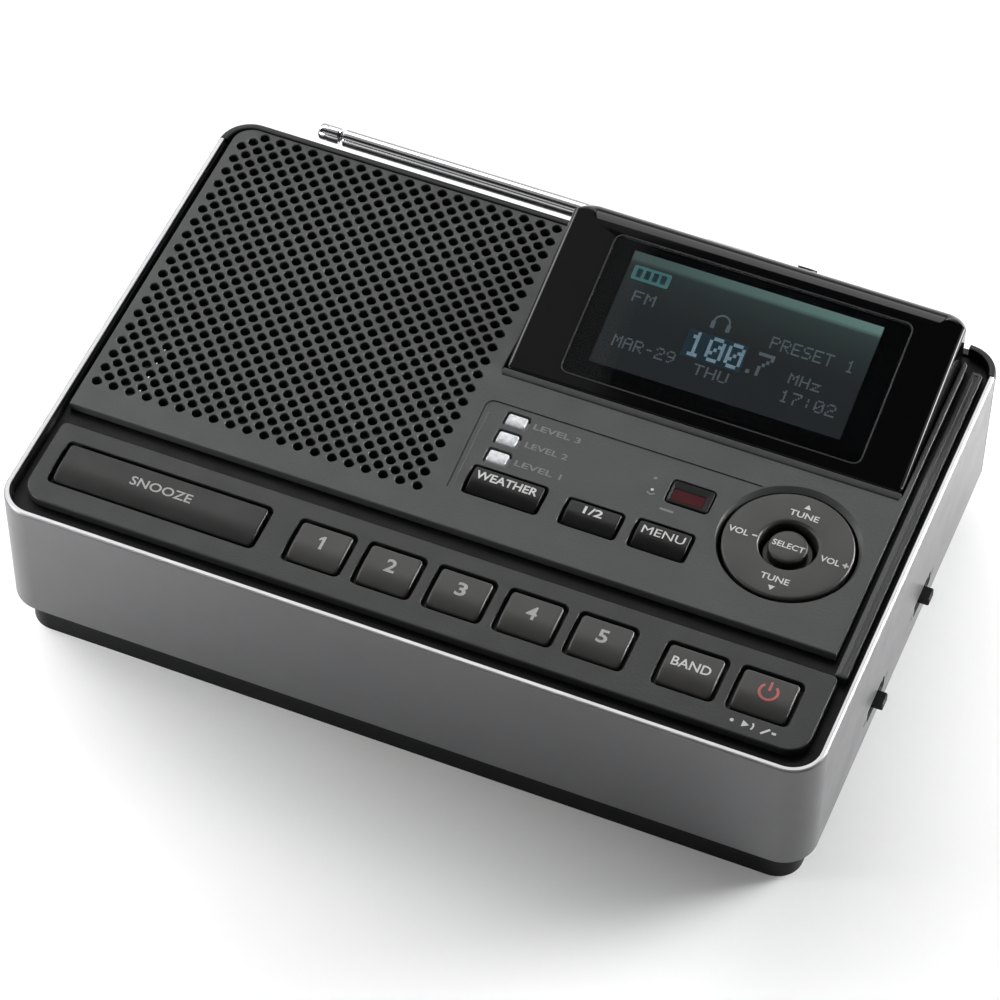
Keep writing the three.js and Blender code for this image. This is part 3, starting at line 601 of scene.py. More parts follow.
def booled(build, name, mats, cutters, adders=(), angle=32.0):
    """build minus the cutters, plus the adders, as one finished mesh."""
    ob = bpy.data.objects.new(name + "_raw", build.mesh(name + "_raw", mats, angle))
    SCENE.collection.objects.link(ob)
    temp = [ob]
    for kind, list_ in (("UNION", adders), ("DIFFERENCE", cutters)):
        for i, c in enumerate(list_):
            t = bpy.data.objects.new(f"{name}_{kind}_{i}", c.mesh(f"{name}_{kind}_{i}", mats[:1], angle))
            SCENE.collection.objects.link(t)
            temp.append(t)
            md = ob.modifiers.new(kind + str(i), "BOOLEAN")
            md.operation = kind
            md.object = t
            md.solver = "EXACT"
    bpy.context.view_layer.update()
    me = bpy.data.meshes.new_from_object(ob.evaluated_get(bpy.context.evaluated_depsgraph_get()))
    me.name = name
    for t in temp:
        bpy.data.objects.remove(t)
    bm = bmesh.new()
    bm.from_mesh(me)
    bmesh.ops.remove_doubles(bm, verts=bm.verts, dist=2e-7)
    bm.to_mesh(me)
    bm.free()
    me.polygons.foreach_set("use_smooth", [True] * len(me.polygons))
    me.set_sharp_from_angle(angle=math.radians(angle))
    me.update()
    return me


def keep(node, material, bevel=0.15, slot=None, segs=2):
    """A CAD node that stays, with softened edges and its own finish."""
    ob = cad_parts[node]
    ob.data.materials.clear()
    ob.data.materials.append(material)
    if bevel:
        w = ob.modifiers.new("weld", "WELD")
        w.merge_threshold = 2e-6
        d = ob.modifiers.new("flats", "DECIMATE")
        d.decimate_type = "DISSOLVE"
        d.angle_limit = math.radians(1.0)
        v = ob.modifiers.new("edges", "BEVEL")
        v.width = bevel * 1e-3
        v.segments = segs
        v.limit_method = "ANGLE"
        v.angle_limit = math.radians(34)
        v.use_clamp_overlap = True
        n = ob.modifiers.new("normals", "WEIGHTED_NORMAL")
        n.weight = 60
    return ob


# --------------------------------------------------------------- printed marks
def glyphs(text, cx, cy, w, h, bold=0.0, shear=0.0):
    """Flat outlines of a line of text fitted to w x h about (cx, cy): (x, y, top?) and faces."""
    cu = bpy.data.curves.new("t", "FONT")
    cu.body = text
    cu.size = 1.0
    cu.resolution_u = 3
    cu.extrude = 0.05
    cu.offset = bold
    cu.shear = shear
    ob = bpy.data.objects.new("t", cu)
    SCENE.collection.objects.link(ob)
    bpy.context.view_layer.update()
    me = bpy.data.meshes.new_from_object(ob.evaluated_get(bpy.context.evaluated_depsgraph_get()))
    bpy.data.objects.remove(ob)
    co = [tuple(v.co) for v in me.vertices]
    xs, ys = [c[0] for c in co], [c[1] for c in co]
    sx = w / (max(xs) - min(xs))
    sy = h / (max(ys) - min(ys)) if h else sx
    mx, my = (max(xs) + min(xs)) / 2, (max(ys) + min(ys)) / 2
    pts = [(cx + (c[0] - mx) * sx, cy + (c[1] - my) * sy, c[2] > 0) for c in co]
    faces = [tuple(p.vertices) for p in me.polygons]
    bpy.data.meshes.remove(me)
    return pts, faces


def flat_mark(loop):
    """A closed flat outline as the same form that glyphs() gives."""
    loop = turned_way(loop)
    n = len(loop)
    pts = [(x, y, True) for x, y in loop] + [(x, y, False) for x, y in loop]
    tris = cdt([loop])
    faces = [tuple(i for _, i in t) for t in tris] + [tuple(n + i for _, i in reversed(t)) for t in tris]
    faces += [(n + i, n + (i + 1) % n, (i + 1) % n, i) for i in range(n)]
    return pts, faces


def arc_mark(cx, cy, r, a0, a1, w, n=20):
    out = [(cx + (r + w / 2) * math.cos(math.radians(a0 + (a1 - a0) * i / n)), cy + (r + w / 2) * math.sin(math.radians(a0 + (a1 - a0) * i / n))) for i in range(n + 1)]
    out += [(cx + (r - w / 2) * math.cos(math.radians(a1 + (a0 - a1) * i / n)), cy + (r - w / 2) * math.sin(math.radians(a1 + (a0 - a1) * i / n))) for i in range(n + 1)]
    return flat_mark(out)


def one(cx, cy, h=3.7):
    """The digit 1, with a flag."""
    return flat_mark([(cx + 0.55, cy - h / 2), (cx + 0.55, cy + h / 2), (cx + 0.05, cy + h / 2), (cx - 0.85, cy + h / 2 - 0.75), (cx - 0.85, cy + h / 2 - 1.4), (cx - 0.1, cy + h / 2 - 0.95), (cx - 0.1, cy - h / 2)])


def inked(marks, zf, thick=0.03, sunk=0.04):
    b = Build()
    for pts, faces in marks:
        ids = b.add([(x, y, zf(x, y) + (thick if top else -sunk)) for x, y, top in pts])
        for f in faces:
            b.face([ids[i] for i in f])
    return b


# ====================================================================== stage
cam = bpy.data.cameras.new("camera")
cam_ob = bpy.data.objects.new("camera", cam)
SCENE.collection.objects.link(cam_ob)
SCENE.camera = cam_ob
cam.sensor_width = 36.0
cam.lens = 156.48
cam.clip_start, cam.clip_end = 0.05, 20
R, U, B = (0.92455029, 0.38099702, 0.00693038), (-0.3020017, 0.72152199, 0.62305777), (0.23238273, -0.57814123, 0.78214512)
cam_ob.matrix_world = Matrix(((R[0], U[0], B[0], 0.2345533), (R[1], U[1], B[1], -0.5928650), (R[2], U[2], B[2], 0.8176058), (0, 0, 0, 1)))

SCENE.view_settings.view_transform = "Standard"
SCENE.view_settings.look = "None"
SCENE.view_settings.exposure = 0.0
SCENE.view_settings.gamma = 1.0

floor_me = bpy.data.meshes.new("floor")
floor_me.from_pydata([(-8, -8, 0), (8, -8, 0), (8, 8, 0), (-8, 8, 0)], [], [(0, 1, 2, 3)])
floor = bpy.data.objects.new("floor", floor_me)
SCENE.collection.objects.link(floor)
fn = Nodes("floor_white")
fn.link(fn.mix(fn.ramp(fn.noise(3, 3.0), 0.3, 0.7, 0, 1), (0.90, 0.90, 0.90), (0.93, 0.93, 0.93)), fn.p.inputs["Base Color"])
fn.p.inputs["Roughness"].default_value = 0.9
fn.p.inputs["Specular IOR Level"].default_value = 0.1
far = fn.nt.nodes.new("ShaderNodeVectorMath")
far.operation = "LENGTH"
fn.link(fn.tc.outputs["Object"], far.inputs[0])
fn.p.inputs["Emission Color"].default_value = (1, 1, 1, 1)
fn.link(fn.ramp(far.outputs["Value"], 0.6, 2.6, 0.0, 0.88), fn.p.inputs["Emission Strength"])
floor_me.materials.append(fn.mat)

world = bpy.data.worlds.new("studio")
SCENE.world = world
world.use_nodes = True
world.node_tree.nodes["Background"].inputs[0].default_value = (1, 1, 1, 1)
wn = world.node_tree
wc = wn.nodes.new("ShaderNodeTexCoord")
ws = wn.nodes.new("ShaderNodeSeparateXYZ")
wn.links.new(wc.outputs["Generated"], ws.inputs[0])
wr = wn.nodes.new("ShaderNodeMapRange")
wr.interpolation_type = "SMOOTHSTEP"
for k, v in (("From Min", 0.06), ("From Max", 0.42), ("To Min", 1.05), ("To Max", 0.03)):
    wr.inputs[k].default_value = v
wn.links.new(ws.outputs["Z"], wr.inputs["Value"])
wn.links.new(wr.outputs[0], wn.nodes["Background"].inputs[1])


def softbox(name, at, aim, size, power, color=(1, 1, 1), spread=180):
    l = bpy.data.lights.new(name, "AREA")
    l.shape = "RECTANGLE"
    l.size, l.size_y = size
    l.energy = power
    l.color = color
    o = bpy.data.objects.new(name, l)
    SCENE.collection.objects.link(o)
    o.location = at
    d = Vector(aim) - Vector(at)
    o.rotation_euler = d.to_track_quat("-Z", "Y").to_euler()
    o.visible_camera = False
    l.spread = math.radians(spread)
    return o


softbox("back_box", (-0.80, 1.20, 1.45), (0, 0, 0.02), (2.0, 1.3), 26)
softbox("right_box", (0.44, 0.36, 0.11), (0.10, 0.06, 0.03), (0.38, 0.2), 1.45, spread=60)
softbox("dim_box", (-0.76, 0.26, 1.50), (-0.76, 0.26, 0), (0.9, 0.9), 0.55)
softbox("dim_box_2", (-0.72, 0.26, 1.52), (-0.72, 0.26, 0), (0.8, 0.9), 0.5)
softbox("fill_box", (1.4, 0.9, 1.3), (0.1, 0.1, 0), (0.9, 0.9), 5)
softbox("left_box", (-1.50, 0.25, 0.95), (-0.1, 0.0, 0.02), (0.8, 0.8), 17)
softbox("front_box", (-0.60, -1.70, 1.50), (-0.1, -0.1, 0), (1.2, 0.6), 1.5)
softbox("corner_box", (-0.24, -0.19, 0.11), (-0.10, -0.066, 0.025), (0.12, 0.09), 0.60)

# ==================================================================== cabinet
HX, HY, RC, SEAM, WALL, RIM, LOW = 99.0, 65.65, 8.2, 57.8, 1.7, 47.0, 11.6


def u_path(d, rear=False, n=14):
    """Plan of the band (front) or rear panel, drawn in by d from the outside."""
    r = RC - d
    if not rear:
        pts = [(-HX + d, SEAM)]
        pts += [(-HX + RC - r * math.cos(math.radians(90 * i / n)), -HY + RC - r * math.sin(math.radians(90 * i / n))) for i in range(n + 1)]
        pts += [(HX - RC + r * math.sin(math.radians(90 * i / n)), -HY + RC - r * math.cos(math.radians(90 * i / n))) for i in range(n + 1)]
        pts += [(HX - d, SEAM)]
        return pts
    pts = [(HX - d, SEAM + 0.3)]
    rr = 8.2 - d
    cy = HY - 8.2
    y_ok = lambda y: max(y, SEAM + 0.3)
    pts += [(HX - 8.2 + rr * math.cos(math.radians(90 * i / n)), y_ok(cy + rr * math.sin(math.radians(90 * i / n)))) for i in range(1, n + 1)]
    pts += [(-HX + 8.2 - rr * math.sin(math.radians(90 * i / n)), y_ok(cy + rr * math.cos(math.radians(90 * i / n)))) for i in range(0, n)]
    pts += [(-HX + d, SEAM + 0.3)]
    return pts


def swept(profile, rear=False, mz=None):
    """Closed (inset, z) profile run along the U."""
    b = Build()
    lines = [b.add([(x, y, z) for x, y in u_path(d, rear)]) for d, z in profile]
    k = len(profile)
    for i in range(k):
        a, c = lines[i], lines[(i + 1) % k]
        b.strip(a, c, mz(i) if mz else 0, closed=False)
    b.face([l[0] for l in lines][::-1])
    b.face([l[-1] for l in lines])
    return b


# outer face, stepped chamfer, polished land, inner edge, inner wall
band_profile = [(0.25, LOW), (0.0, LOW + 0.25), (0.0, 46.30), (0.08, 46.56), (0.22, 46.72), (0.30, 46.74), (0.34, 46.92), (0.44, 47.0),
                (1.16, 47.0), (1.28, 46.93), (1.34, 46.75), (1.36, 45.9), (1.70, 45.8), (1.70, LOW + 0.2), (1.5, LOW)]
band = swept(band_profile, mz=lambda i: 1 if 4 <= i <= 9 else (2 if 10 <= i <= 11 else 0))


def slot_cut(y, dx0, dx1, half, zc, zh, r):
    """A rounded slot through the right wall."""
    lp = rrect(y - half, y + half, zc - zh, zc + zh, r, 5)
    return stack([[(dx0, a, c) for a, c in lp], [(dx1, a, c) for a, c in lp]])


SW_Y, SW_Z = (12.5, -19.8), 19.0
cutters = [slot_cut(y, HX - 4, HX + 1, 5.5, SW_Z, 1.7, 0.8) for y in SW_Y] + [slot_cut(y, HX - 0.35, HX + 1, 5.95, SW_Z, 2.15, 1.1) for y in SW_Y]
piece("band_shell", booled(band, "band_shell", [M["band"], M["rim"], M["trim"]], cutters), None, nodes=["housing_band"])

rear_profile = [(0.25, LOW), (0.0, LOW + 0.25), (0.0, 46.3), (0.18, 46.75), (0.6, 47.0), (1.35, 47.0), (1.6, 46.9), (1.70, 46.7), (1.70, LOW + 0.2), (1.5, LOW)]
rear = swept(rear_profile, rear=True)


def y_rod(x, z, r, y0, y1, n=40):
    return lathe([(0, y0), (r, y0), (r, y1), (0, y1)], n, False, about_y(x, z))


def z_rod(x, y, r, z0, z1, n=32):
    return lathe([(0, z0), (r, z0), (r, z1), (0, z1)], n, False, about_z(x, y))


shelf = stack([[(x, y, z) for x, y in shift(rrect(43.0, 53.0, 65.0, 72.0, (0.3, 0.3, 2.4, 2.4), 6), d)] for z, d in ((35.0, 0.5), (35.5, 0.0), (41.6, 0.0), (42.0, 0.4))])
notch = stack([[(x, y, z) for x, y in rrect(-7.7, 90.5, 59.6, 66.7, 0.01, 1)] for z in (44.7, 60.0)])
cut_rear = [notch, y_rod(-62, 20, 4.3, 60, 67), y_rod(-38, 20, 3.3, 60, 67), z_rod(48, 68.9, 1.6, 30, 50)]
# shallow dishes round the sockets
cut_rear += [y_rod(-62, 20, 5.6, 65.25, 67), y_rod(-38, 20, 4.6, 65.25, 67)]
# row of cooling slots low on the rear wall
for i in range(9):
    cx = 20 + i * 6.0
    lp = rrect(cx - 0.8, cx + 0.8, 18.0, 27.0, 0.79, 5)
    cut_rear.append(stack([[(a, 66.5, c) for a, c in lp], [(a, 65.0, c) for a, c in lp]]))
piece("rear_shell", booled(rear, "rear_shell", [M["shell"]], cut_rear, [shelf]), None, nodes=["rear_panel"])

# dark frame under the two deck panels, and the slim strip down the right side
keep("bezel_frame", M["trim"], 0.2)
strip_out = rrect(93.25, 96.15, -36.75, 58.1, (0.5, 0.5, 1.2, 0.6), 5)
strip = Build()
ids = [strip.add([(x, y, z) for x, y in shift(strip_out, d)]) for d, z in ((0.0, 43.9), (0.0, 46.25), (0.12, 46.42), (0.35, 46.52), (1.02, 46.60), (1.10, 46.42))]
for a, c in zip(ids, ids[1:]):
    strip.strip(a, c)
strip.face(ids[0][::-1])
strip.face(ids[-1])
piece("deck_side_strip", strip, M["deck"])

# ================================================================== top panel
Z0, Z1 = 44.4, 46.6
HOOD = dict(x0=-7.3, x1=90.1, y0=17.0, y1=65.4)
panel = [(-96, -31.5), (91.8, -31.5)]
panel += [(91.8 - 1.2 + 1.2 * math.cos(math.radians(15 * i)), 58.9 + 1.2 * math.sin(math.radians(15 * i))) for i in range(7)][:-1]
panel += [(90.5, 60.1), (90.5, 16.6), (-7.7, 16.6), (-7.7, 63.9)]
panel += [(-91 - 5 * math.sin(math.radians(7.5 * i)), 58.9 + 5 * math.cos(math.radians(7.5 * i))) for i in range(13)]

GAP = 0.4
WEATHER, ALARM, MENU, STATUS = (-2.3, 15.3, -20.3, -12.7), (21.2, 34.2, -20.3, -13.2), (38.0, 51.0, -20.3, -12.7), (41.2, 51.2, -5.4, 1.0)
LAMPS = [(-1.1, 3.9, a, c) for a, c in ((1.5, 4.8), (-4.3, -0.8), (-10.2, -6.7))]


def window(r, rad, g=GAP):
    return rrect(r[0] - g, r[1] + g, r[2] - g, r[3] + g, rad + g, 5)


holes = [window(WEATHER, 0.6, 0.6), window(ALARM, 0.6, 0.6), window(MENU, 0.6, 0.6), window(STATUS, 0.8)]
holes += [window(r, 0.5, 0.55) for r in LAMPS]

# speaker perforations: a staggered lattice of soft diamonds
PX, PY = 4.247, 4.479


def perforation(x, y, r=1.30, n=12):
    out = []
    for i in range(n):
        t = 2 * math.pi * i / n
        c, s = abs(math.cos(t)), abs(math.sin(t))
        k = r / (c ** 1.6 + s ** 1.6) ** (1 / 1.6)
        out.append((x + k * math.cos(t), y + k * math.sin(t)))
    return out


grille = []
for i in range(20):
    for j in range(20):
        grille.append((-93 + PX * i, -23.1 + PY * j))
        if i < 19 and j < 19:
            grille.append((-93 + PX * (i + 0.5), -23.1 + PY * (j + 0.5)))
grille = [(x, y) for x, y in grille if not (x < -91 and y > 58.9 and math.hypot(x + 91, y - 58.9) > 3.0)]

NAV = (71.5, -7.0)
nav_rings = [(circle(*NAV, 16.0, 96), Z0), (circle(*NAV, 16.0, 96), Z1 - 0.75), (circle(71.5, -6.72, 16.32, 96), Z1 - 0.45), (circle(71.5, -6.35, 16.72, 96), Z1 - 0.05), (circle(71.5, -6.28, 16.85, 96), Z1)]


def trench(path, w):
    """Outline of a groove of width w along a path."""
    left, right = [], []
    n = len(path)
    for i in range(n):
        a = path[max(0, i - 1)]
        c = path[min(n - 1, i + 1)]
        dx, dy = c[0] - a[0], c[1] - a[1]
        l = math.hypot(dx, dy)
        nx, ny = -dy / l, dx / l
        left.append((path[i][0] + nx * w / 2, path[i][1] + ny * w / 2))
        right.append((path[i][0] - nx * w / 2, path[i][1] - ny * w / 2))
    return left + right[::-1]


corner = [(-5.05 + 2.0 * math.cos(math.radians(180 - 15 * i)), 4.85 + 2.0 * math.sin(math.radians(180 - 15 * i))) for i in range(7)]
groove = [(-6.0, -20.7), (-6.55, -8.0)] + corner + [(20, 6.85), (60.3, 6.85)]
groove2 = [(-4.7, -20.6), (-5.2, -8.0), (-5.55, 3.6)]
pockets = [(trench(groove, 0.55), 0.28, 0.10), (trench(groove2, 0.34), 0.10, 0.08)]
pockets += [(rrect(-7.2, 90.2, 14.75, 15.25, 0.2, 2), 0.25, 0.08)]

top = plate(panel, holes + [perforation(x, y) for x, y in grille], Z0, Z1, bev=0.32, hole_bev=0.13, seg=3, hseg=1, ring_sets=[nav_rings], pockets=pockets)
piece("deck_panel", top, M["deck"], nodes=["top_panel"], angle=38)

# raised lip of the panel in front of the hood
lip_profile = [(15.35, 45.6), (15.35, 46.66), (15.5, 46.80), (16.55, 47.02), (16.72, 46.98), (16.80, 46.80), (16.80, 45.6)]
lip = Build()
lines = [lip.add([(x, y, z) for y, z in lip_profile]) for x in (-7.45, 90.25)]
lip.strip(lines[0], lines[1])
lip.face(lines[0][::-1])
lip.face(lines[1])
piece("deck_lip", lip, M["deck"])

# ================================================================== key panel
KY0, KY1 = -53.8, -42.2
SNOOZE = (-90.4, -39.9, KY0, KY1)
PRESET_X = (-25.6, -8.6, 8.5, 25.5, 42.4)
PRESETS = [(x - 6.65, x + 6.65, KY0, KY1) for x in PRESET_X]
BAND_K, POWER_K = (56.7, 70.5, KY0, KY1), (74.2, 88.0, KY0, KY1)
kholes = [window(r, 1.0, 0.62) for r in [SNOOZE, *PRESETS, BAND_K, POWER_K]]
kp = plate(rrect(-94.8, 94.4, -60.0, -37.0, (5.5, 5.5, 1.5, 1.5), 10), kholes, Z0, Z1, bev=0.38, hole_bev=0.22, seg=4, hseg=3)
piece("key_deck", kp, M["deck_low"], nodes=["front_key_panel"], angle=38)


def key_top(y0, y1, top, reach, drop):
    """Height of a cap: level at the back, rolling down towards the user."""
    def f(y):
        s = (y - y0) / (y1 - y0)
        if s >= reach:
            return top - 0.10 * (s - reach) ** 2
        k = (reach - s) / reach
        return top - drop * k * k
    return f


def cap(name, r, rad, zt, bev, body, node, flange=0.9, marks=(), ink="ink", z_low=42.3, dish=0.0, mat="key", inset=0.42):
    x0, x1, y0, y1 = r
    x0, x1, y0, y1 = x0 + inset, x1 - inset, y0 + inset, y1 - inset
    h = (y1 - y0) / 2
    rings = []

    def ring(d, zz):
        rr = max(0.12, rad - d)
        rings.append([(x, y, zz(x, y)) for x, y in rrect_fine(x0 + d, x1 - d, y0 + d, y1 - d, rr, 6, 12)])

    def t(x, y):
        e = min((x - x0), (x1 - x), 6.0) / 6.0
        return zt(y) - dish * min(1.0, max(0.0, e)) ** 0.5

    flange = flange + inset
    ring(-flange + 0.15, lambda x, y: z_low)
    ring(-flange, lambda x, y: z_low + 0.15)
    ring(-flange, lambda x, y: 44.05)
    ring(0.0, lambda x, y: 44.05)
    ring(0.0, lambda x, y: zt(y) - bev)
    for i in range(1, 5):
        a = math.pi / 2 * i / 4
        ring(bev * (1 - math.cos(a)), lambda x, y, a=a: zt(y) - bev + bev * math.sin(a))
    k = 7
    for i in range(1, k + 1):
        d = bev + (h - 0.25 - bev) * i / k
        ring(d, t)
    b = stack(rings)
    piece(name + "_cap", b, M[mat], body=body, nodes=[node], angle=50)
    if marks:
        piece(name + "_print", inked(marks, t), M[ink], body=body, angle=20, weighted=False)


preset_top = key_top(KY0, KY1, 46.92, 0.52, 1.35)
cap("snooze", SNOOZE, 1.0, key_top(KY0, KY1, 47.05, 0.52, 1.45), 0.55, "snooze_bar", "snooze_bar", 1.0, [glyphs("SNOOZE", -65.3, -47.0, 15.2, 2.5, 0.012)], "ink_mid", mat="key_mid")
for i, (r, x) in enumerate(zip(PRESETS, PRESET_X), 1):
    cap(f"preset_{i}", r, 1.0, preset_top, 0.55, f"preset_key_{i}", f"preset_key_{i}", 0.9, [one(x, -46.9) if i == 1 else glyphs(str(i), x, -46.9, 2.5, 3.7, 0.02)], "ink_mid")
cap("band", BAND_K, 1.0, preset_top, 0.55, "band_key", "band_key", 0.9, [glyphs("BAND", 63.4, -46.9, 9.2, 2.5, 0.012)])
pw = [arc_mark(81.5, -47.0, 2.1, 130, 410, 0.62, 28), flat_mark(rrect(81.2, 81.8, -46.7, -44.2, 0.2, 2))]
cap("power", POWER_K, 1.0, preset_top, 0.55, "power_key", "power_key", 0.9, pw, "ink_red")
cap("weather", WEATHER, 0.6, key_top(WEATHER[2], WEATHER[3], 47.15, 0.56, 1.9), 0.35, "weather_key", "weather_key", 0.9, [glyphs("WEATHER", 6.4, -15.1, 15.0, 2.3, 0.02)], mat="key_dark", inset=0.25)
cap("alarm", ALARM, 0.6, key_top(ALARM[2], ALARM[3], 47.05, 0.56, 1.9), 0.35, "alarm_key", "alarm_key", 0.9, [glyphs("1/2", 27.6, -15.3, 4.6, 2.2, 0.02)], mat="key_dark", inset=0.25)
cap("menu", MENU, 0.6, key_top(MENU[2], MENU[3], 47.05, 0.56, 1.9), 0.35, "menu_key", "menu_key", 0.9, [glyphs("MENU", 44.6, -15.2, 10.2, 2.2, 0.0)], mat="key_dark", inset=0.25)

# printed marks on the deck
deck_soft = [glyphs("LEVEL 3", 11.4, 3.2, 11.6, 1.7, 0.02), glyphs("LEVEL 2", 11.0, -2.5, 10.4, 1.7, 0.02), glyphs("LEVEL 1", 11.3, -8.4, 11.4, 1.7, 0.02)]
deck_soft += [flat_mark(circle(36.9, -0.2, 0.42, 20)), flat_mark(rrect(40.9, 44.2, -8.3, -7.7, 0.15, 2)), arc_mark(37.4, -4.1, 0.9, 200, 340, 0.35, 10)]
piece("deck_marks_soft", inked(deck_soft, lambda x, y: Z1), M["ink_soft"], angle=20, weighted=False)
deck_hi = [flat_mark(circle(37.4, -3.6, 0.36, 20)), flat_mark(circle(76.6, -56.9, 0.45, 20)),
           flat_mark([(79.0, -57.8), (80.6, -56.9), (79.0, -56.0)]), arc_mark(80.2, -56.9, 1.35, -40, 40, 0.4, 8),
           flat_mark([(83.4, -57.8), (85.1, -56.1), (85.5, -56.4), (83.8, -58.1)]), flat_mark(rrect(85.9, 86.9, -57.3, -56.7, 0.1, 2))]
piece("deck_marks_bright", inked(deck_hi, lambda x, y: Z1), M["ink"], angle=20, weighted=False)


# ================================================================ lamps, lens
def lamp(name, r, node):
    x0, x1, y0, y1 = r[0] + 0.1, r[1] - 0.1, r[2] + 0.1, r[3] - 0.1
    rings = []
    for d, z in ((-0.75, 42.2), (-0.75, 44.05), (0.0, 44.05), (0.0, 46.45), (0.08, 46.64), (0.25, 46.78), (0.6, 46.88), (1.2, 46.93)):
        rings.append([(x, y, z) for x, y in rrect(x0 + d, x1 - d, y0 + d, y1 - d, max(0.1, 0.55 - d), 5)])
    b = stack(rings)
    piece(name, b, M["milk"], nodes=[node], angle=50)


for n, r in zip(("warning", "watch", "advisory"), LAMPS):
    lamp({"warning": "lamp_high", "watch": "lamp_mid", "advisory": "lamp_low"}[n], r, f"alert_lens_{n}")

# status window: black frame with a sloping top edge, dark red pane set in it
sx0, sx1, sy0, sy1 = STATUS
fr = Build()
rings = []
for d, z in ((-0.8, 42.2), (-0.8, 44.05), (0.0, 44.05), (0.0, 46.5), (0.12, 46.68), (0.3, 46.72)):
    rings.append([(x, y, z) for x, y in rrect(sx0 + d, sx1 - d, sy0 + d, sy1 - d, max(0.2, 0.75 - d), 5)])
inner = rrect(sx0 + 0.7, sx1 - 1.5, sy0 + 0.9, sy1 - 2.0, 0.4, 5)
rings.append([(x, y, 46.45) for x, y in inner])
rings.append([(x, y, 46.1) for x, y in shift(inner, 0.05)])
piece("status_frame", stack(rings), M["trim"], nodes=["status_window"], angle=30)
pane = [[(x, y, z) for x, y in shift(inner, d)] for d, z in ((0.06, 45.9), (0.06, 46.28), (0.10, 46.36), (0.18, 46.38))]
piece("status_pane", stack(pane), M["red"], angle=25)

# =================================================================== nav ring
ring_profile = [(6.75, 43.5), (14.4, 43.5), (15.1, 44.6), (15.15, 46.35), (15.07, 46.62), (14.85, 46.80), (14.55, 46.88), (13.0, 46.93), (11.0, 46.96), (9.0, 46.98),
                (7.5, 46.98), (7.15, 46.90), (6.85, 46.65), (6.75, 46.3)]
piece("nav_ring_cap", lathe(ring_profile, 128, True, about_z(*NAV)), M["key"], body="nav_ring", nodes=["nav_ring"], angle=40)
rz = lambda x, y: 46.955
nav_marks = [glyphs("TUNE", 72.0, 2.3, 7.0, 1.7, 0.015), glyphs("TUNE", 72.0, -17.1, 6.8, 1.7, 0.015), glyphs("VOL", 59.7, -7.3, 4.8, 1.7, 0.015), glyphs("VOL", 81.7, -7.6, 4.6, 1.7, 0.015)]
nav_marks += [flat_mark([(71.2, 4.3), (72.8, 4.3), (72.0, 5.6)]), flat_mark([(71.2, -19.2), (72.0, -20.5), (72.8, -19.2)])]
nav_marks += [flat_mark(rrect(63.0, 64.2, -7.5, -7.1, 0.1, 2)), flat_mark(rrect(84.7, 86.1, -7.8, -7.4, 0.1, 2)), flat_mark(rrect(85.2, 85.6, -8.3, -6.9, 0.1, 2))]
piece("nav_ring_print", inked(nav_marks, rz, 0.03, 0.06), M["ink"], body="nav_ring", angle=20, weighted=False)
keep("nav_gimbal", M["trim"], 0.15)
sel_profile = [(0, 40.3), (1.8, 40.3), (1.8, 42.6), (5.6, 42.6), (5.6, 43.8), (4.6, 43.8), (4.6, 46.05), (4.5, 46.35), (4.25, 46.55), (3.9, 46.62), (2.5, 46.66), (1.2, 46.68), (0, 46.68)]
piece("select_cap", lathe(sel_profile, 96, False, about_z(*NAV)), M["key"], body="select_key", nodes=["select_key"], angle=40)
piece("select_print", inked([glyphs("SELECT", 71.6, -7.0, 7.6, 1.6, 0.015)], lambda x, y: 46.67, 0.03, 0.08), M["ink"], body="select_key", angle=20, weighted=False)

# ======================================================================= hood
SLOPE, FRONT_Z = 0.275, 46.9
hx0, hx1, hy0, hy1 = HOOD["x0"], HOOD["x1"], HOOD["y0"], HOOD["y1"]
WIN = (4.7, 78.9, 20.1, 57.0)


def face_z(x, y):
    return FRONT_Z + SLOPE * (y - hy0)


plan = rrect(hx0, hx1, hy0, hy1, (1.6, 1.6, 5.5, 5.5), 10)
plan_n = []
for i in range(len(plan)):
    a, c = plan[i - 1], plan[(i + 1) % len(plan)]
    dx, dy = c[0] - a[0], c[1] - a[1]
    l = math.hypot(dx, dy)
    plan_n.append((dy / l, -dx / l))
edge_r = [1.3 + (7.4 - 1.3) * max(0.0, n[1]) ** 0.8 - 0.6 * max(0.0, -n[1]) for n in plan_n]


def hood_ring(t):
    out = []
    for (x, y), (nx, ny), r in zip(plan, plan_n, edge_r):
        d = r * (1 - math.cos(t))
        px, py = x - nx * d, y - ny * d
        out.append((px, py, face_z(px, py) - r * (1 - math.sin(t))))
    return out


def hood_low(z):
    return [(x, y, z) for x, y in plan]


hood = Build()
hring = [hood.add(hood_low(45.0)), hood.add([(x, y, 45.35) for x, y in plan])]
for i in range(11):
    hring.append(hood.add([(x, y, max(z, 45.6)) for x, y, z in hood_ring(math.pi / 2 * i / 10)]))
for a, c in zip(hring, hring[1:]):
    hood.strip(a, c)
inner_plan = [(x, y) for x, y, z in hood_ring(math.pi / 2)]
win = turned_way(rrect(*WIN, 2.2, 8), False)
wr = [hood.add([(x, y, face_z(x, y) + dz) for x, y in shift(win, d)]) for d, dz in ((0.0, -1.75), (0.0, -0.08), (0.08, 0.0))]
for a, c in zip(wr, wr[1:]):
    hood.strip(a, c)
topl = [(inner_plan, hring[-1]), (shift(win, 0.08), wr[-1])]
for t in cdt([l for l, _ in topl]):
    hood.face([topl[li][1][i] for li, i in t])
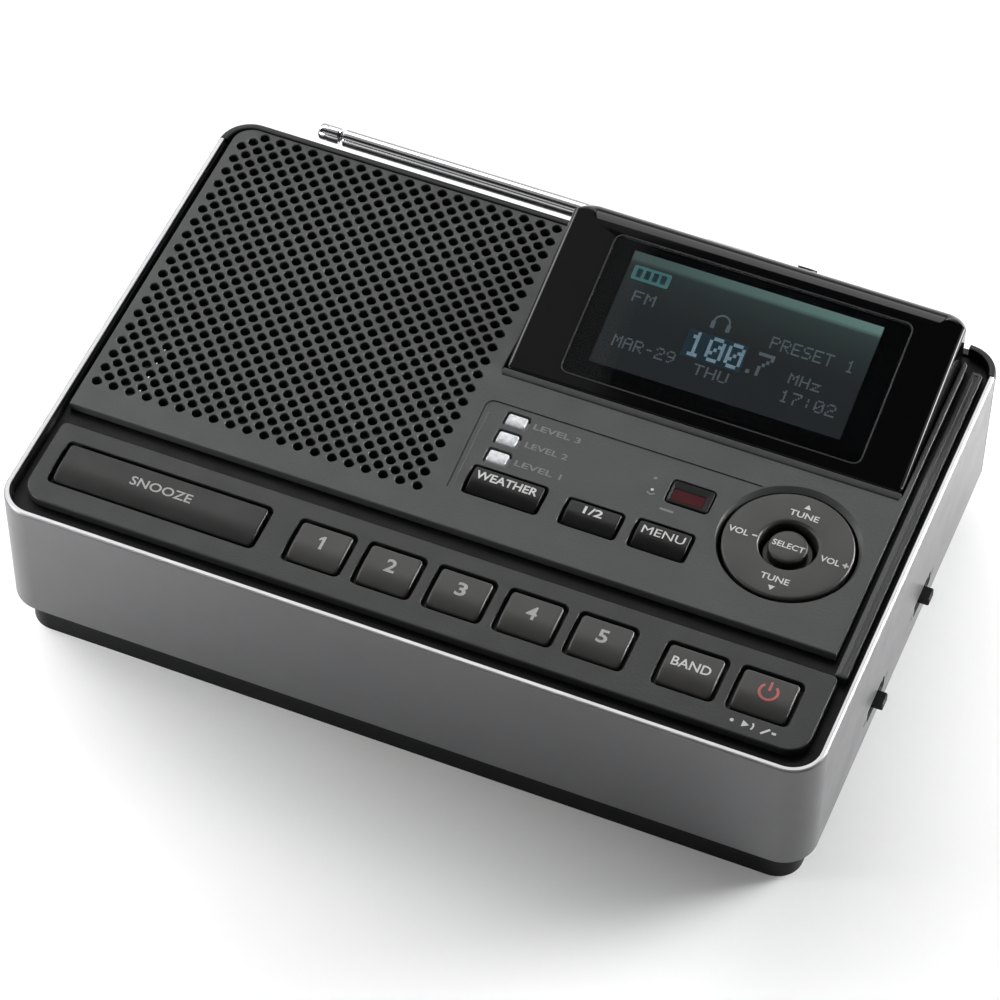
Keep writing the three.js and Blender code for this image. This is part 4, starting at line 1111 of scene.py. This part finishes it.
# inside: a ledge round the window, then the hollow underside
ledge = turned_way(rrect(WIN[0] + 2.5, WIN[1] - 2.5, WIN[2] + 2.0, WIN[3] - 1.6, 1.2, 8), False)
lw = [hood.add([(x, y, face_z(x, y) - dz) for x, y in ledge]) for dz in (1.75, 2.3)]
hood.strip(lw[1], lw[0])
for t in cdt([turned_way(win), ledge]):
    src = (wr[0][::-1] if turned_way(win) != win else wr[0], lw[0])
    hood.face([src[li][i] for li, i in t])
under = rrect(hx0 + 2, hx1 - 2, hy0 + 2, hy1 - 2, (0.4, 0.4, 3.5, 3.5), 10)
ud = hood.add([(x, y, min(face_z(x, y) - 2.3, 60)) if y < hy1 - 8 else (x, y, face_z(x, hy1 - 8) - 2.6) for x, y in under])
low_in = hood.add([(x, y, 45.0) for x, y in under])
for t in cdt([under, ledge]):
    src = (ud, lw[1])
    hood.face([src[li][i] for li, i in reversed(t)])
hood.strip(low_in[::-1], ud[::-1])
for t in cdt([plan, turned_way(under, False)]):
    src = (hring[0], low_in[::-1] if turned_way(under, False) != under else low_in)
    hood.face([src[li][i] for li, i in reversed(t)])
piece("hood_shell", hood, M["gloss"], nodes=["display_hood"], angle=40, fix=False)


def slab(loop_top, d0, d1, bev=0.12, m=0):
    """A pane parallel to the hood's face: from d1 below it up to d0 below it."""
    rings = [(loop_top, -d1), (loop_top, -d0 - bev)]
    for i in (1, 2):
        t = math.pi / 4 * i
        rings.append((shift(loop_top, bev * (1 - math.cos(t))), -d0 - bev + bev * math.sin(t)))
    return stack([[(x, y, face_z(x, y) + z) for x, y in l] for l, z in rings])


# fine grey line round the window: a thin trim ring between hood and lens; its grey, lighter than the hood, is a painted
# highlight along the window's groove edge
outl = rrect(WIN[0] + 0.06, WIN[1] - 0.06, WIN[2] + 0.06, WIN[3] - 0.06, 2.14, 8)
inl = shift(outl, 0.30)
tr = Build()
ta = [tr.add([(x, y, face_z(x, y) + z) for x, y in l]) for l, z in ((outl, -1.5), (outl, -0.02), (shift(outl, 0.05), 0.02), (shift(outl, 0.25), 0.02), (inl, -0.02), (inl, -1.5))]
for a, c in zip(ta, ta[1:] + ta[:1]):
    tr.strip(a, c)
piece("window_line_ring", tr, M["line"])
lens_loop = shift(outl, 0.33)
piece("window_lens", slab(lens_loop, 0.0, 0.7), M["lens"], nodes=["display_lens"], angle=40)
# black printed mask behind the lens, open over the panel
LCD = [(9.3, 54.25), (71.0, 54.25), (72.6, 25.6), (11.5, 25.0)]
LCD = (10.2, 72.2, 25.2, 54.9)
mask_hole = turned_way(rrect(*LCD, 0.25, 2), False)
mk = Build()
mo = turned_way(lens_loop)
a0 = mk.add([(x, y, face_z(x, y) - 1.45) for x, y in mo])
a1 = mk.add([(x, y, face_z(x, y) - 0.82) for x, y in mo])
c0 = mk.add([(x, y, face_z(x, y) - 1.45) for x, y in mask_hole])
c1 = mk.add([(x, y, face_z(x, y) - 0.82) for x, y in mask_hole])
mk.strip(a0, a1)
mk.strip(c0, c1)
for t in cdt([mo, mask_hole]):
    mk.face([(a1, c1)[li][i] for li, i in t])
    mk.face([(a0, c0)[li][i] for li, i in reversed(t)])
piece("window_mask", mk, M["mask"])
piece("lcd_panel", slab(rrect(LCD[0] - 0.5, LCD[1] + 0.5, LCD[2] - 0.5, LCD[3] + 0.4, 0.2, 2), 1.5, 3.2, 0.05), M["lcd"], nodes=["lcd_module"])

DOTS = {
    "0": "01110 10001 10011 10101 11001 10001 01110", "1": "00100 01100 00100 00100 00100 00100 01110",
    "2": "01110 10001 00001 00110 01000 10000 11111", "7": "11111 00001 00010 00100 01000 01000 01000",
    "9": "01110 10001 10001 01111 00001 00010 01100", "A": "01110 10001 10001 11111 10001 10001 10001",
    "E": "11111 10000 10000 11110 10000 10000 11111", "F": "11111 10000 10000 11110 10000 10000 10000",
    "H": "10001 10001 10001 11111 10001 10001 10001", "M": "10001 11011 10101 10101 10001 10001 10001",
    "P": "11110 10001 10001 11110 10000 10000 10000", "R": "11110 10001 10001 11110 10100 10010 10001",
    "S": "01111 10000 10000 01110 00001 00001 11110", "T": "11111 00100 00100 00100 00100 00100 00100",
    "U": "10001 10001 10001 10001 10001 10001 01110", "z": "00000 00000 11111 00010 00100 01000 11111",
    "-": "00000 00000 00000 01110 00000 00000 00000", ":": "00000 00100 00100 00000 00100 00100 00000",
    " ": "00000 00000 00000 00000 00000 00000 00000",
}


def dotted(text, cx, cy, w, h, fill=0.84):
    """Text as cells of a 5 by 7 grid, each row of lit cells drawn as one bar."""
    px = w / (6 * len(text) - 1)
    py = h / 7
    out = []
    for k, ch in enumerate(text):
        for j, row in enumerate(DOTS[ch].split()):
            i = 0
            while i < 5:
                if row[i] == "0":
                    i += 1
                    continue
                e = i
                while e < 5 and row[e] == "1":
                    e += 1
                x0 = cx - w / 2 + (6 * k + i) * px
                x1 = x0 + (e - i) * px - px * (1 - fill)
                y1 = cy + h / 2 - j * py
                out.append(flat_mark([(x0, y1 - py * fill), (x1, y1 - py * fill), (x1, y1), (x0, y1)]))
                i = e
    return out


lcd_z = lambda x, y: face_z(x, y) - 1.5
hi = dotted("100", 37.1, 37.2, 13.6, 6.2, 0.95)
hi2 = dotted("THU", 38.2, 31.4, 8.6, 2.7)
hi3 = [arc_mark(36.1, 44.0, 1.9, 0, 180, 0.45, 14), flat_mark(rrect(33.7, 34.7, 42.2, 44.1, 0.2, 2)), flat_mark(rrect(37.5, 38.5, 42.2, 44.1, 0.2, 2))]
piece("lcd_marks_bright", inked(hi, lcd_z, 0.05, 0.05), M["lcd_hi"], angle=20, weighted=False)
mid = dotted("7", 49.0, 37.2, 4.0, 5.9, 0.95) + [flat_mark(rrect(45.5, 46.4, 34.3, 35.2, 0.1, 2))] + dotted("MAR-29", 21.3, 32.3, 15.4, 3.0) + dotted("FM", 16.7, 44.1, 5.6, 2.8)
mid += dotted("PRESET 1", 58.9, 43.2, 20.6, 3.1) + dotted("MHz", 59.6, 36.2, 7.8, 2.7) + dotted("17:02", 62.0, 31.6, 13.6, 3.1)
mid += hi2 + hi3
piece("lcd_marks_mid", inked(mid, lcd_z, 0.04, 0.05), M["lcd_mid"], angle=20, weighted=False)
teal = [flat_mark(rrect(11.6, 20.9, 48.0, 51.6, 0.5, 3))]
piece("lcd_battery_block", inked(teal, lcd_z, 0.03, 0.05), M["lcd_teal"], angle=20, weighted=False)
piece("lcd_battery_bars", inked([flat_mark(rrect(12.6 + 2.0 * i, 13.9 + 2.0 * i, 48.7, 50.9, 0.15, 2)) for i in range(4)], lcd_z, 0.06, 0.02), M["lcd_blue"], angle=20, weighted=False)
# dim blue glowing patch just round the big digits: a painted glow halo round the lit digits
piece("lcd_digit_painted_glow", inked([flat_mark(rrect(29.6, 44.3, 33.7, 40.7, 0.3, 2))], lcd_z, 0.02, 0.05), M["lcd_blue"], angle=20, weighted=False)

# ============================================================== side switches
for k, y in zip(("rear", "front"), SW_Y):
    node = f"side_switch_knob_{k}"
    b = Build()
    # ribbed thumb piece
    prof = []
    w = 3.4
    n = 4
    for i in range(n):
        a = y - w / 2 + w * i / n
        prof += [(a + 0.06, 101.02), (a + 0.16, 101.28), (a + w / n - 0.16, 101.28), (a + w / n - 0.06, 101.02)]
    pts = [(y - w / 2, 98.0)] + [(y - w / 2, 100.9)] + prof + [(y + w / 2, 100.9), (y + w / 2, 98.0)]
    pts = [(c, a) for a, c in pts]  # (x, y)
    lo_r = [[(px, py, z) for px, py in pts] for z in (SW_Z - 1.2, SW_Z - 1.0, SW_Z + 1.0, SW_Z + 1.2)]
    for rr in (0, 3):
        lo_r[rr] = [(min(px, 101.1) if px > 99 else px, py, z) for px, py, z in lo_r[rr]]
    b.merge(stack(lo_r))
    b.merge(block(95.7, 96.9, y - 9.5, y + 9.5, SW_Z - 2.4, SW_Z + 2.4, 0.15, 0.3))
    b.merge(block(96.6, 98.4, y - 1.6, y + 1.6, SW_Z - 1.15, SW_Z + 1.15, 0.1, 0.2))
    b.merge(block(92.9, 95.9, y - 1.2, y + 1.2, SW_Z - 1.2, SW_Z + 1.2, 0.1, 0.2))
    piece(f"switch_thumb_{k}", b, M["trim"], body=f"side_switch_{k}", nodes=[node], angle=28)
    keep(f"side_switch_case_{k}", M["steel"], 0.15)
# small printed marks at the ends of the slots
sm = Build()
for y in SW_Y:
    for s, h in ((-1, 0.9), (1, 0.9)):
        tri = [(y + s * 7.0, SW_Z - h), (y + s * 8.7, SW_Z), (y + s * 7.0, SW_Z + h)]
        lo_ = sm.add([(98.97, a, c) for a, c in tri])
        hi_ = sm.add([(99.03, a, c) for a, c in tri])
        sm.strip(lo_, hi_)
        sm.face(lo_)
        sm.face(hi_[::-1])
piece("switch_marks", sm, M["ink_dark"], angle=20, weighted=False)

# ==================================================================== antenna
AY, AZ = 68.9, 47.4


def tube(r, wall, x0, x1, bead=0.0):
    """A thin tube along X with rolled ends."""
    ri = r - wall
    return [(ri, x0 + 0.05), (r - 0.12, x0), (r - 0.03, x0 + 0.1), (r, x0 + 0.3), (r, x1 - 0.9), (r - 0.04, x1 - 0.8), (r - 0.04, x1 - 0.55), (r, x1 - 0.45), (r, x1 - 0.12), (r - 0.1, x1), (ri, x1)]


for i, r in enumerate((2.2, 1.65, 1.1)):
    x0, x1 = -70.5 - 0.25 * i, 22.0 - 2 * i
    body = ("antenna_rod", "antenna_section_2", "antenna_section_3")[i]
    piece(f"antenna_tube_{i + 1}", lathe(tube(r, 0.3, x0, x1), 48, True, about_x(AY, AZ)), M["chrome"], body=body, nodes=[f"antenna_section_{i + 1}"], angle=30)
tip = [(0, -77.4), (0.9, -77.38), (1.5, -77.2), (1.95, -76.8), (2.1, -76.4), (2.1, -75.2), (1.98, -75.05), (1.98, -74.85), (2.1, -74.7), (2.1, -72.2), (1.95, -71.75), (1.5, -71.4), (0.9, -71.3),
       (0.55, -71.25), (0.55, 15.8), (0.4, 16.0), (0, 16.0)]
piece("antenna_tip_rod", lathe(tip, 48, False, about_x(AY, AZ)), M["chrome"], body="antenna_section_4", nodes=["antenna_section_4"], angle=30)
keep("antenna_turret", M["chrome"], 0.18)
keep("antenna_knuckle", M["chrome"], 0.18)
keep("antenna_hinge_pin", M["steel"], 0.1)

# ====================================================== base, sockets, insides
keep("base_tray", M["under"], 0.5, segs=3)
keep("battery_door", M["under"], 0.25)
for i in range(1, 5):
    keep(f"foot_{i}", M["rubber"], 0.2)
    keep(f"case_screw_{i}", M["steel"], 0.15)
    keep(f"battery_cell_{i}", M["cell"], 0.25)
keep("dc_jack", M["trim"], 0.15)
keep("phones_jack", M["trim"], 0.15)
keep("speaker_frame", M["basket"], 0.15)
keep("speaker_cone", M["paper"], 0.0)
keep("speaker_magnet", M["iron"], 0.3)
keep("main_board", M["board"], 0.1)
keep("key_board", M["board"], 0.1)
keep("key_mat", M["mat"], 0.15)
keep("ferrite_rod", M["iron"], 0.2)

# bright rings of the sockets
for nm_, x, r_in, r_out in (("dc_ring", -62, 2.95, 3.9), ("phones_ring", -38, 1.85, 2.9)):
    piece(nm_, lathe([(r_in, 64.6), (r_out, 64.6), (r_out, 65.35), (r_out - 0.2, 65.5), (r_in + 0.2, 65.5), (r_in, 65.35)], 48, True, about_y(x, 20)), M["steel"])

# small icons over the rear sockets, printed on the rear wall (seen from behind, so x is mirrored)
def on_rear(marks, cx, cz):
    b = Build()
    for pts, faces in marks:
        ids = b.add([(cx - x, 65.65 + (0.03 if top else -0.04), cz + y) for x, y, top in pts])
        for f in faces:
            b.face([ids[i] for i in f])
    return b


icons = on_rear([arc_mark(0, 0, 1.7, 0, 180, 0.4, 14), flat_mark(rrect(-2.1, -1.3, -1.7, 0.1, 0.2, 2)), flat_mark(rrect(1.3, 2.1, -1.7, 0.1, 0.2, 2))], -38, 29.4)
icons.merge(on_rear([flat_mark(rrect(-2.2, 2.2, 0.3, 0.75, 0.1, 2))] + [flat_mark(rrect(a, a + 1.1, -0.75, -0.3, 0.1, 2)) for a in (-2.2, -0.55, 1.1)], -62, 29.0))
piece("rear_socket_marks", icons, M["ink_mid"], angle=20, weighted=False)
